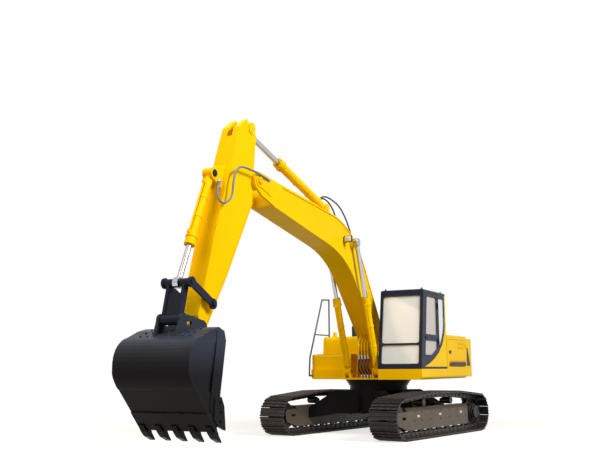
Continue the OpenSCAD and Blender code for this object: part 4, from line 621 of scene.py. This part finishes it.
CYLINDER_HOSE_R = 0.85 * HOSE_R
CYLINDER_HOSES = (
    ((2.720, 0.0, 4.582), (2.620, 0.05, 4.630), (2.420, 0.10, 4.600), (2.150, 0.14, 4.500),
     (1.900, 0.16, 4.300), (1.705, 0.165, 4.060), (1.640, 0.165, 3.926)),
    ((2.700, 0.01, 4.575), (2.600, 0.03, 4.590), (2.450, 0.06, 4.530), (2.300, 0.08, 4.405),
     (2.205, 0.08, 4.280), (2.170, 0.08, 4.180)))


def make_cylinder_hoses():
    """Hoses from the arm cylinder's foot port back to the top of the boom."""
    for i, points in enumerate(CYLINDER_HOSES):
        path = smooth_path([Vector(p) for p in points], 5)
        hose = Shape()
        hose.tube(path, CYLINDER_HOSE_R, HOSE_SIDES)
        obj = hose.done("cylinder_hose_%d" % (i + 1), RUBBER, None, "hose_rubber")
        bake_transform(obj)


# Places on the lines of arm and boom
ARM_HOSE_SEAT = (0.239, 0.256, 0.083)
ARM_HOSE_ROUTE = (
    (0.252, 0.260, 0.138), (0.285, 0.268, 0.157), (0.320, 0.269, 0.173), (0.350, 0.262, 0.195),
    (0.368, 0.247, 0.221), (0.372, 0.226, 0.240), (0.352, 0.205, 0.253), (0.313, 0.187, 0.259),
    (0.268, 0.187, 0.259), (0.222, 0.206, 0.259), (0.171, 0.223, 0.259), (0.128, 0.222, 0.259),
    (0.093, 0.203, 0.259), (0.064, 0.172, 0.259), (0.032, 0.120, 0.259), (-0.003, 0.061, 0.259),
    (-0.030, 0.006, 0.256))
ARM_HOSE_PORT = (0.960, 0.030, 0.220)


def make_arm_hose():
    """The grey hose that loops from the arm's side back to the boom's."""
    seat, port = ARM.at(*ARM_HOSE_SEAT), BOOM.at(*ARM_HOSE_PORT)
    route = [seat, seat + HOSE_R * Y] + [ARM.at(*p) for p in ARM_HOSE_ROUTE]
    last = route[-1]
    turn = Vector((port.x, last.y, port.z))
    route += bezier(last, turn, port + HOSE_R * Y, 4)[1:] + [port]
    path = smooth_path(route, 3)
    hose = Shape()
    hose.tube(path, HOSE_R, HOSE_SIDES)
    obj = hose.done("arm_hose", HOSE_GREY, None, "hose_rubber")
    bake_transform(obj)
    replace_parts(obj, "arm_hoses")
    for body, at in (("arm", seat), ("boom", port)):
        nut = Shape()
        nut.lathe(at, Y, NUT, HOSE_SIDES)
        nut.done(body + "_hose_ferrule", STEEL, body, "pin_steel")


# Seat: stuffed cushion and back on a suspension

PAD_VOXEL = 0.006
PAD_SWELL = 0.022
PAD_FRAMES = 20
PAD_PRESSURE = 4.0
PAD_QUALITY = 4
PAD_CORE = 1.6
PAD_CUTS = 9
PAD_CORNER, PAD_CROWN = 0.06, 0.12
CHANNEL_W, CHANNEL_DEPTH, CHANNEL_FROM = 0.045, 0.010, 0.25


def final_mesh(obj):
    """Mesh of an object with its modifiers applied."""
    graph = bpy.context.evaluated_depsgraph_get()
    return bpy.data.meshes.new_from_object(obj.evaluated_get(graph))


def swollen(data):
    """Points of a mesh blown up like stuffed cloth, each moved by PAD_SWELL at most."""
    scene = bpy.context.scene
    before = [v.co.copy() for v in data.vertices]
    obj = bpy.data.objects.new("stuffing", data)
    scene.collection.objects.link(obj)
    cloth = obj.modifiers.new("cloth", "CLOTH")
    cloth.settings.quality = PAD_QUALITY
    cloth.settings.use_pressure = True
    cloth.settings.uniform_pressure_force = PAD_PRESSURE
    cloth.settings.effector_weights.gravity = 0.0
    cloth.collision_settings.use_collision = False
    for step in range(1, PAD_FRAMES + 1):
        scene.frame_set(step)
    after = final_mesh(obj)
    moves = [v.co - p for v, p in zip(after.vertices, before)]
    bpy.data.meshes.remove(after)
    bpy.data.objects.remove(obj)
    scene.frame_set(1)
    return [p + move * min(1.0, PAD_SWELL / max(move.length, 1e-9))
            for p, move in zip(before, moves)]


def pad(name, centre, size, lean, channels):
    """A stuffed pad with a flat underside.

    Lean turns it about Y; channels are lines sewn along its length, as shares of half its width.
    """
    core = [s - PAD_CORE * PAD_SWELL for s in size]
    start = bmesh.new()
    bmesh.ops.create_cube(start, size=1.0)
    bmesh.ops.subdivide_edges(start, edges=start.edges, cuts=PAD_CUTS, use_grid_fill=True)
    for vert in start.verts:
        a, b, c = 2 * vert.co
        corner = 1 - PAD_CORNER * (abs(a) * abs(b)) ** 3
        crown = 1 - PAD_CROWN * (abs(a) ** 4 + abs(b) ** 4)
        vert.co = (a * corner * core[0] / 2, b * corner * core[1] / 2, c * crown * core[2] / 2)
    data = bpy.data.meshes.new("stuffing")
    start.to_mesh(data)
    start.free()
    obj = bpy.data.objects.new("stuffing", data)
    bpy.context.scene.collection.objects.link(obj)
    skin = obj.modifiers.new("skin", "REMESH")
    skin.mode = "VOXEL"
    skin.voxel_size = PAD_VOXEL
    fine = final_mesh(obj)
    bpy.data.objects.remove(obj)
    turn = Matrix.Rotation(lean, 3, "Y")
    points = swollen(fine)
    shape = Shape()
    shape.mesh.from_mesh(fine)
    for vert, p in zip(shape.mesh.verts, points):
        across = 2 * p.y / size[1]
        sewn = sum(math.exp(-((across - channel) / CHANNEL_W) ** 2) for channel in channels)
        z = p.z - (CHANNEL_DEPTH * sewn if p.z > CHANNEL_FROM * size[2] else 0.0)
        vert.co = centre + turn @ Vector((p.x, p.y, max(z, -size[2] / 2)))
    return shape.done(name, CLOTH, "house", "seat_cloth", 80.0)


SEAT_BASE_H = 0.300
CUSHION_AT, CUSHION_SIZE, CUSHION_EXTRA = (0.245, 0.063), (0.525, 0.130), 0.035
CUSHION_CHANNELS = (-0.5, 0.0, 0.5)
BACK_AT, BACK_SIZE, BACK_EXTRA = (0.115, 0.385), (0.50, 0.120), 0.01
BACK_CHANNELS = (-0.5, 0.5)
BACK_LEAN = math.radians(83)
SEAT_MIDDLE = 0.25
SEAT_FOOT = (0.19, 0.2)
BELLOWS_HALF, BELLOWS_STEP = (0.15, 0.16), 0.05
BELLOWS_INSETS = (0.0, 0.018, 0.0, 0.018, 0.0)
SEAT_ARM_IN, SEAT_ARM_T = 0.030, 0.012


def make_seat():
    low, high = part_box("seat")
    middle_y = (low.y + high.y) / 2
    width = high.y - low.y
    base_top = low.z + SEAT_BASE_H
    at = Vector((high.x - CUSHION_AT[0], middle_y, base_top + CUSHION_AT[1]))
    size = (CUSHION_SIZE[0], width + CUSHION_EXTRA, CUSHION_SIZE[1])
    cushion = pad("seat_cushion", at, size, 0.0, CUSHION_CHANNELS)
    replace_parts(cushion, "seat")
    at = Vector((low.x + BACK_AT[0], middle_y, base_top + BACK_AT[1]))
    size = (BACK_SIZE[0], width + BACK_EXTRA, BACK_SIZE[1])
    pad("seat_back", at, size, BACK_LEAN, BACK_CHANNELS)
    shell = Shape()
    foot = Vector((high.x - SEAT_MIDDLE, middle_y, low.z))
    for k, inset in enumerate(BELLOWS_INSETS):
        at = foot + (BELLOWS_STEP + BELLOWS_STEP * k) * Z
        shell.prism(oblong(BELLOWS_HALF[0] - inset, BELLOWS_HALF[1] - inset), at, X, Y,
                    BELLOWS_STEP * Z)
    shell.prism(oblong(*SEAT_FOOT), foot, X, Y, BELLOWS_STEP * Z)
    arm = [(high.x - 0.36, base_top), (high.x - 0.30, base_top), (low.x + 0.13, base_top + 0.36),
           (low.x + 0.08, base_top + 0.36), (low.x + 0.09, base_top + 0.08)]
    for side in (-1, 1):
        y = middle_y + side * (width / 2 - SEAT_ARM_IN) - SEAT_ARM_T / 2
        shell.prism(arm, Vector((0, y, 0)), X, Z, SEAT_ARM_T * Y)
    shell.done("seat_suspension", PLASTIC, "house", "trim_plastic")


# Small fittings

CAP_EDGE, CAP_TOP, CAP_CHAMFER = 0.008, 0.012, 0.006
CAP_BOLT_N, CAP_BOLT, CAP_BOLT_SHARE, CAP_BOLT_SEAT = 4, 0.011, 0.62, 0.010
# Body, pin, radius, material and slot
PIN_CAPS = (("boom", "arm", 0.058, YELLOW, "yellow_paint"),
            ("arm", "idler_links", 0.044, SLATE, "slate_paint"))


def pin_cap(shape, at, radius):
    """A keeper plate with bolts on the +Y end of a pin."""
    shape.lathe(at, Y, [(0, radius), (CAP_EDGE, radius), (CAP_TOP, radius - CAP_CHAMFER)], 24)
    for spoke in circle(X, Z, CAP_BOLT_N, 0.5):
        shape.bolt(at + CAP_BOLT_SHARE * radius * spoke + CAP_BOLT_SEAT * Y, Y, CAP_BOLT)


def both_ends(shape, at, radius):
    """Keeper plates on the +Y end of a pin and, mirrored, on the other."""
    pin_cap(shape, at, radius)
    mirror = Shape()
    pin_cap(mirror, at, radius)
    for vert in mirror.mesh.verts:
        vert.co.y *= -1
    data = bpy.data.meshes.new("mirror")
    mirror.mesh.to_mesh(data)
    shape.mesh.from_mesh(data)
    bpy.data.meshes.remove(data)
    mirror.mesh.free()


def make_pin_caps():
    for body, pin, radius, material, slot in PIN_CAPS:
        shape = Shape()
        both_ends(shape, Vector((PINS[pin].x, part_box(body + "_pins")[1].y, PINS[pin].z)), radius)
        shape.done(body + "_pin_caps", material, body, slot)


def ring_of_bolts(shape, centre, axis, radius, count, size):
    axis = axis.normalized()
    u = axis.orthogonal().normalized()
    for spoke in circle(u, axis.cross(u), count, 0.5):
        shape.bolt(centre + radius * spoke, axis, size)


# Body, foot, eye, length and radius of the barrel, and where the cylinders lie across
CYLINDERS = (
    ("boom_barrels", Vector((0.824, 0, 1.285)), Vector((1.7489, 0, 3.8272)), 1.570, 0.068,
     (-0.325, 0.325)),
    ("arm_barrel", PINS["arm_barrel"], ARM.at(-0.2284, 0.1949), 1.900, 0.078, (0.0,)),
    ("bucket_barrel", PINS["bucket_barrel"], PINS["bucket_link"], 1.270, 0.068, (0.0,)))
GLAND_BOLT_N, GLAND_BOLT = 8, 0.009
CLAMP_SHARES = (0.35, 0.62)
CLAMP_W = 0.040
CLAMP = ((0, -0.003), (0, 0.003), (0.004, 0.007), (0.036, 0.007), (CLAMP_W, 0.003),
         (CLAMP_W, -0.003))


def make_gland_bolts():
    """Bolts round the glands, and clamps on the barrels."""
    for body, foot, eye, barrel_l, radius, rows in CYLINDERS:
        shape = Shape()
        axis = (eye - foot).normalized()
        clamp = [(s, radius + r) for s, r in CLAMP]
        for y in rows:
            end = foot + axis * barrel_l + y * Y
            ring_of_bolts(shape, end, axis, radius, GLAND_BOLT_N, GLAND_BOLT)
            for share in CLAMP_SHARES:
                at = foot + axis * (barrel_l * share - CLAMP_W / 2) + y * Y
                shape.lathe(at, axis, clamp, 28, True)
        shape.done(body + "_bolts", YELLOW, body, "yellow_paint")


LAMP_IN = 0.062
BEZEL_HALF, BEZEL_CORNER = (0.085, 0.065), 0.02
BEZEL_BACK, BEZEL_DEPTH = 0.030, 0.040
LENS_STEPS = ((0.0, 0.86), (0.012, 0.84), (0.020, 0.70), (0.024, 0.30))


def make_lamp():
    low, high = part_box("work_lamp")
    centre = Vector((high.x, high.y - LAMP_IN, (low.z + high.z) / 2))
    bezel = Shape()
    outer = fillet(oblong(*BEZEL_HALF), BEZEL_CORNER, 4)
    bezel.prism(outer, centre - BEZEL_BACK * X, Y, Z, BEZEL_DEPTH * X)
    bezel.done("lamp_bezel", BLACK, "boom", "slate_paint")
    lens = Shape()
    lens.rings([[centre + Vector((depth, share * p.x, share * p.y)) for p in outer]
                for depth, share in LENS_STEPS])
    lens.done("lamp_lens", LENS, "boom", "pane")


SIDE_Y = 1.357
PLATE_OUT = 0.004
# Plates and grips are (size, chamfer)
LATCH_AT = (0.10, 0.30)
LATCH_PLATE = ((0.120, 0.010, 0.070), 0.003)
LATCH_GRIP = ((0.090, 0.014, 0.022), 0.004)
LATCH_GRIP_OUT, LATCH_GRIP_UP = 0.010, 0.01
HOOD_HANDLE_Y = (-0.45, 0.45)
HOOD_HANDLE_IN, HOOD_PLATE_UP = 0.05, 0.028
HOOD_PLATE_HALF, HOOD_PLATE_T = (0.05, 0.02), 0.012
HOOD_BOW = ((-0.05, 0.034), (-0.04, 0.06), (0.04, 0.06), (0.05, 0.034))
HOOD_BOW_R = 0.007
DOOR_HANDLE_AT = Vector((0.690, SIDE_Y + PLATE_OUT, 1.960))
DOOR_PLATE = ((0.150, 0.010, 0.060), 0.003)
DOOR_GRIP, DOOR_GRIP_OUT = ((0.115, 0.016, 0.024), 0.005), Vector((0.005, 0.012, 0.004))
DOOR_LOCK, DOOR_LOCK_OUT = ((0, 0.009), (0.004, 0.009)), Vector((0.058, 0.004, -0.018))


def make_latches():
    """Latches of the side doors, handles of the hood and the handle of the cab door."""
    for node, side in (("left_side_door", 1), ("right_side_door", -1)):
        low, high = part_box(node)
        shape = Shape()
        at = Vector((high.x - LATCH_AT[0], side * (SIDE_Y + PLATE_OUT), low.z + LATCH_AT[1]))
        shape.slab(at, *LATCH_PLATE)
        shape.slab(at + side * LATCH_GRIP_OUT * Y + LATCH_GRIP_UP * Z, *LATCH_GRIP)
        shape.done(node + "_latch", BLACK, node, "slate_paint")
    low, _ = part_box("hood")
    x = low.x + HOOD_HANDLE_IN
    shape = Shape()
    for y in HOOD_HANDLE_Y:
        shape.prism(oblong(*HOOD_PLATE_HALF), Vector((x, y, low.z + HOOD_PLATE_UP)), Y, X,
                    HOOD_PLATE_T * Z)
        shape.tube([Vector((x, y + k, low.z + h)) for k, h in HOOD_BOW], HOOD_BOW_R, 8)
    shape.done("hood_handles", BLACK, "hood", "slate_paint")
    shape = Shape()
    shape.slab(DOOR_HANDLE_AT, *DOOR_PLATE)
    shape.slab(DOOR_HANDLE_AT + DOOR_GRIP_OUT, *DOOR_GRIP)
    shape.lathe(DOOR_HANDLE_AT + DOOR_LOCK_OUT, Y, DOOR_LOCK, 14)
    shape.done("door_handle", BLACK, "cab_door", "slate_paint")


CAB_Z0, CAB_H = 1.330, 1.604
CAB_FRONT = (1.040, 0.800)
WINDOW_TOP = 2.804
SEAL_IN = 0.002
FRONT_SEAL_R, SIDE_SEAL_R = 0.009, 0.008
FRONT_SEAL_Y = (0.492, 1.297)
# Bottom, top and corner radius
FRONT_SEALS = ((1.425, 1.811, 0.05), (1.835, WINDOW_TOP, 0.06))
SIDE_CORNER = 0.036
QUARTER = ((-0.090, WINDOW_TOP), (-0.455, WINDOW_TOP), (-0.455, 2.250), (-0.369, 2.052),
           (-0.292, 1.943), (-0.090, 1.747))
DOOR_MARGIN = 0.195
DOOR_REAR = 0.040
DOOR_UPPER_Z = 2.017
DOOR_LOWER_Z = (1.603, 1.740, 1.907)
DOOR_LOWER_CUT = 0.45


def front_x(z):
    """Where the cab's sloping front is at a height."""
    return CAB_FRONT[0] + (CAB_FRONT[1] - CAB_FRONT[0]) * (z - CAB_Z0) / CAB_H


def door_front(z):
    return front_x(z) - DOOR_MARGIN, z


def side_seal(shape, outline):
    path = [Vector((p.x, SIDE_Y - SEAL_IN, p.y)) for p in fillet(outline, SIDE_CORNER)]
    shape.tube(path, SIDE_SEAL_R, 8, True)


def make_seals():
    seal = Shape()
    for z0, z1, corner in FRONT_SEALS:
        ring = fillet(rectangle(FRONT_SEAL_Y[0], z0, FRONT_SEAL_Y[1], z1), corner)
        path = [Vector((front_x(p.y) - SEAL_IN, p.x, p.y)) for p in ring]
        seal.tube(path, FRONT_SEAL_R, 8, True)
    side_seal(seal, QUARTER)
    seal.done("cab_seals", BLACK, "house", "slate_paint")
    door = Shape()
    side_seal(door, [door_front(DOOR_UPPER_Z), door_front(WINDOW_TOP), (DOOR_REAR, WINDOW_TOP),
                     (DOOR_REAR, DOOR_UPPER_Z)])
    low, rear, high = DOOR_LOWER_Z
    cut = DOOR_REAR + DOOR_LOWER_CUT * (door_front(low)[0] - DOOR_REAR)
    side_seal(door, [(cut, low), door_front(low), door_front(high), (DOOR_REAR, high),
                     (DOOR_REAR, rear)])
    door.done("door_seals", BLACK, "cab_door", "slate_paint")


ROOF_EYE = ((0, 0.030), (0.010, 0.028), (0.012, 0.016), (0.030, 0.016), (0.036, 0.010))
ROOF_EYE_IN = (0.10, 0.07)
ROOF_EYE_SINK = 0.002


def make_roof_eyes():
    shape = Shape()
    low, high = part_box("cab_roof")
    front, rear = high.x - ROOF_EYE_IN[0], low.x + ROOF_EYE_IN[0]
    left, right = high.y - ROOF_EYE_IN[1], low.y + ROOF_EYE_IN[1]
    for x, y in ((front, left), (front, right), (rear, left)):
        shape.lathe(Vector((x, y, high.z - ROOF_EYE_SINK)), Z, ROOF_EYE)
    shape.done("roof_eyes", BLACK, "house", "slate_paint")


FRAME_FACE_Y = GAUGE / 2 + 0.150
FRAME_BOLT = 0.013
FRAME_BOLT_X = (-1.20, -0.80, -0.40, 0.0, 0.40, 0.80, 1.10)
FRAME_BOLT_Z = (0.352, 0.508)
DRIVE_OUT, DRIVE_R, DRIVE_BOLT_N, DRIVE_BOLT = 0.017, 0.105, 10, 0.011
IDLER_R, IDLER_BOLT_N, IDLER_BOLT = 0.055, 6, 0.009
REFLECTOR_X, REFLECTOR_Z = (-0.95, 0.02, 0.95), 0.43
REFLECTOR_HALF, REFLECTOR_CORNER = (0.05, 0.022), 0.008
REFLECTOR_T, REFLECTOR_SINK = 0.006, 0.002


def on_frame(side, x, z):
    """A place on the outer face of a track frame."""
    return TRACK_TURN @ Vector((0, side * FRAME_FACE_Y, 0)) + TRACK_TURN @ Vector((x, 0, z))


def make_frame_bolts():
    """Bolts and reflectors on the track frames' outer faces, and bolts of drives and idlers."""
    ahead = TRACK_TURN @ X
    outline = fillet(oblong(*REFLECTOR_HALF), REFLECTOR_CORNER, 3)
    bolts, plates = Shape(), Shape()
    for side in (-1, 1):
        out = TRACK_TURN @ Vector((0, side, 0))
        for x in FRAME_BOLT_X:
            for z in FRAME_BOLT_Z:
                bolts.bolt(on_frame(side, x, z), out, FRAME_BOLT)
        ring_of_bolts(bolts, on_frame(side, *SPROCKET) + out * DRIVE_OUT, out, DRIVE_R,
                      DRIVE_BOLT_N, DRIVE_BOLT)
        for spoke in circle(ahead, Z, IDLER_BOLT_N):
            bolts.bolt(on_frame(side, *IDLER) + IDLER_R * spoke, out, IDLER_BOLT)
        for x in REFLECTOR_X:
            plates.prism(outline, on_frame(side, x, REFLECTOR_Z) - out * REFLECTOR_SINK, ahead, Z,
                         out * REFLECTOR_T)
    bolts.done("frame_bolts", TRACK, "undercarriage", "track_steel")
    plates.done("reflectors", REFLECTOR, "undercarriage", "track_steel")


# Places from the bucket's pin as shares of its reach
BUCKET_REACH = 1.556
CUTTER_BOLTS, CUTTER_BOLT = ((0.118, -0.655), (0.110, -0.735), (0.112, -0.815)), 0.020
TOP_BOLTS, TOP_BOLT = ((0.225, -0.040), (0.305, -0.068), (0.385, -0.100)), 0.013
TOP_BOLT_Y, TOP_BOLT_UP = (0.30, 0.42), 0.034
TOP_AXIS = Vector((0.35, 0, 1))


def make_bucket_bolts():
    shape = Shape()
    pin = Vector((PINS["bucket"].x, 0, PINS["bucket"].z))
    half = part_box("bucket")[1].y
    for side in (-1, 1):
        for a, b in CUTTER_BOLTS:
            at = pin + Vector((a * BUCKET_REACH, side * half, b * BUCKET_REACH))
            shape.bolt(at, side * Y, CUTTER_BOLT)
        for a, b in TOP_BOLTS:
            for y in TOP_BOLT_Y:
                at = pin + Vector((a * BUCKET_REACH, side * y, b * BUCKET_REACH + TOP_BOLT_UP))
                shape.bolt(at, TOP_AXIS, TOP_BOLT)
    shape.done("bucket_bolts", BUCKET, "bucket", "bucket_steel")


SIDE_BAR = ((7.162, 1.700), (7.280, 1.050))
SIDE_BAR_HALF, SIDE_BAR_T, SIDE_BAR_SINK = 0.016, 0.014, 0.004
SIDE_PLATE_Y = 0.635


def make_side_bars():
    """Flat bars welded down the bucket's side plates."""
    top, foot = (Vector((x, 0, z)) for x, z in SIDE_BAR)
    run = foot - top
    wide = run.cross(Y).normalized()
    shape = Shape()
    for side in (-1, 1):
        shape.prism(rectangle(0.0, -SIDE_BAR_HALF, 1.0, SIDE_BAR_HALF),
                    top + side * (SIDE_PLATE_Y - SIDE_BAR_SINK) * Y, run, wide,
                    side * SIDE_BAR_T * Y)
    shape.done("bucket_side_bars", BUCKET, "bucket", "bucket_steel")


STEP_X, STEP_Y = (0.02, 0.36), (-1.30, -0.50)
STEP_T = 0.004
STUD = ((0, 0.012), (0.005, 0.008))
STUD_N, STUD_GAP, STUD_IN = (6, 14), (0.056, 0.057), 0.03


def make_step_plate():
    """Anti-slip plate with raised studs on the tool box."""
    shape = Shape()
    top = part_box("tool_box")[1].z
    shape.prism(rectangle(STEP_X[0], STEP_Y[0], STEP_X[1], STEP_Y[1]), Vector((0, 0, top)), X, Y,
                STEP_T * Z)
    for i in range(STUD_N[0]):
        for k in range(STUD_N[1]):
            at = Vector((STEP_X[0] + STUD_IN + STUD_GAP[0] * i,
                         STEP_Y[0] + STUD_IN + STUD_GAP[1] * k, top + STEP_T))
            shape.lathe(at, Z, STUD, 10)
    shape.done("step_plate", GREY_RAIL, "house", "rail_paint")


STRIPE_OUT, STRIPE_T = 0.0005, 0.0015
STRIPE_IN = 0.03
BAND_Z, LINE_Z = (1.395, 1.465), (1.488, 1.503)
LEG = ((-2.02, 1.395), (-2.28, 1.395), (-2.10, 1.800), (-2.02, 1.800))


def stripe(outline, y, name, material, body, slot):
    shape = Shape()
    shape.prism(outline, Vector((0, y + STRIPE_OUT, 0)), X, Z, STRIPE_T * Y)
    shape.done(name, material, body, slot)


def make_stripes():
    """Plain dark band with a leg towards the rear, and a thin line above it, on the left side."""
    low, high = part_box("left_side_door")
    rear, front = low.x + STRIPE_IN, high.x - STRIPE_IN
    stripe(rectangle(rear, BAND_Z[0], front, BAND_Z[1]), high.y, "side_band", BLACK,
           "left_side_door", "slate_paint")
    stripe(rectangle(rear, LINE_Z[0], front, LINE_Z[1]), high.y, "side_line", ORANGE,
           "left_side_door", "yellow_paint")
    stripe(LEG, SIDE_Y, "rear_band", BLACK, "house", "slate_paint")


# Stage

FLOOR_SIZE = 120.0
FLOOR_TONE = (0.36, 0.34, 0.31)
FLOOR_SCALE, FLOOR_SHADE = 0.6, 0.99
LIGHT_ON_FLOOR = (0.72, 1.0)
FLOOR_FADE = (5.0, 10.0)
WHITE = (1.0, 1.0, 1.0, 1.0)
WORLD_TONE, WORLD_STRENGTH = (1.0, 0.72, 0.46, 1.0), 0.15
LIGHT_TARGET = (2.0, 0.0, 1.8)
# Name, place, size, power and colour
LIGHTS = (("key", (5.0, 17.0, 14.0), 8.0, 4300.0, (1.0, 0.99, 0.96)),
          ("fill", (19.0, -2.0, 10.0), 10.0, 1250.0, (1.0, 0.60, 0.27)),
          ("top", (9.0, -1.0, 17.0), 10.0, 1500.0, (0.90, 0.95, 1.0)))


def seen_rays(tree):
    """1 for camera, glossy and transmission rays, 0 for diffuse ones."""
    path = tree.nodes.new("ShaderNodeLightPath")
    seen = path.outputs["Is Camera Ray"]
    for ray in ("Is Glossy Ray", "Is Transmission Ray"):
        either = tree.nodes.new("ShaderNodeMath")
        either.operation = "MAXIMUM"
        tree.links.new(seen, either.inputs[0])
        tree.links.new(path.outputs[ray], either.inputs[1])
        seen = either.outputs["Value"]
    return seen


def set_world():
    """A white surround to look at, and a weak warm one that lights."""
    world = bpy.data.worlds.new("studio")
    world.use_nodes = True
    tree = world.node_tree
    bpy.context.scene.world = world
    lit = tree.nodes["Background"]
    lit.inputs["Color"].default_value = WORLD_TONE
    lit.inputs["Strength"].default_value = WORLD_STRENGTH
    seen = tree.nodes.new("ShaderNodeBackground")
    seen.inputs["Strength"].default_value = 1.0
    seen.inputs["Color"].default_value = WHITE
    mix = tree.nodes.new("ShaderNodeMixShader")
    tree.links.new(seen_rays(tree), mix.inputs["Fac"])
    tree.links.new(lit.outputs["Background"], mix.inputs[1])
    tree.links.new(seen.outputs["Background"], mix.inputs[2])
    tree.links.new(mix.outputs["Shader"], tree.nodes["World Output"].inputs["Surface"])


def set_floor():
    """A floor that takes shadows and fades to white with distance."""
    bpy.ops.mesh.primitive_plane_add(size=FLOOR_SIZE, location=(0, 0, 0))
    floor = bpy.context.object
    floor.name = "floor"
    g = Graph("floor")
    darker = tuple(FLOOR_SHADE * c for c in FLOOR_TONE)
    g.link(g.mix(g.ramp(g.noise(FLOOR_SCALE), *CLOUD_RANGE), FLOOR_TONE, darker),
           g.shader.inputs["Base Color"])
    g.set(Roughness=0.95, Specular_IOR_Level=0.0)
    glow = g.tree.nodes.new("ShaderNodeEmission")
    glow.inputs["Color"].default_value = WHITE
    far = g.tree.nodes.new("ShaderNodeVectorMath")
    far.operation = "LENGTH"
    g.link(g.coords, far.inputs[0])
    light = g.ramp(far.outputs["Value"], *FLOOR_FADE, *LIGHT_ON_FLOOR)
    g.link(g.product(seen_rays(g.tree), light), glow.inputs["Strength"])
    add = g.tree.nodes.new("ShaderNodeAddShader")
    g.link(g.shader.outputs["BSDF"], add.inputs[0])
    g.link(glow.outputs["Emission"], add.inputs[1])
    g.link(add.outputs["Shader"], g.tree.nodes["Material Output"].inputs["Surface"])
    floor.data.materials.append(g.material)


def set_lights():
    for name, at, size, power, colour in LIGHTS:
        data = bpy.data.lights.new(name, "AREA")
        data.shape = "DISK"
        data.size = size
        data.energy = power
        data.color = colour
        light = bpy.data.objects.new(name, data)
        light.location = at
        aim = Vector(LIGHT_TARGET) - Vector(at)
        light.rotation_euler = aim.to_track_quat("-Z", "Y").to_euler()
        bpy.context.scene.collection.objects.link(light)


set_camera()
make_foot_hoses()
make_arm_hose()
make_cylinder_hoses()
dress_nodes()
make_track("track_left", 1)
make_track("track_right", -1)
make_seat()
make_pin_caps()
make_gland_bolts()
make_lamp()
make_latches()
make_seals()
make_roof_eyes()
make_frame_bolts()
make_bucket_bolts()
make_side_bars()
make_step_plate()
make_stripes()
set_world()
set_floor()
set_lights()

bpy.context.scene.view_settings.view_transform = "Standard"
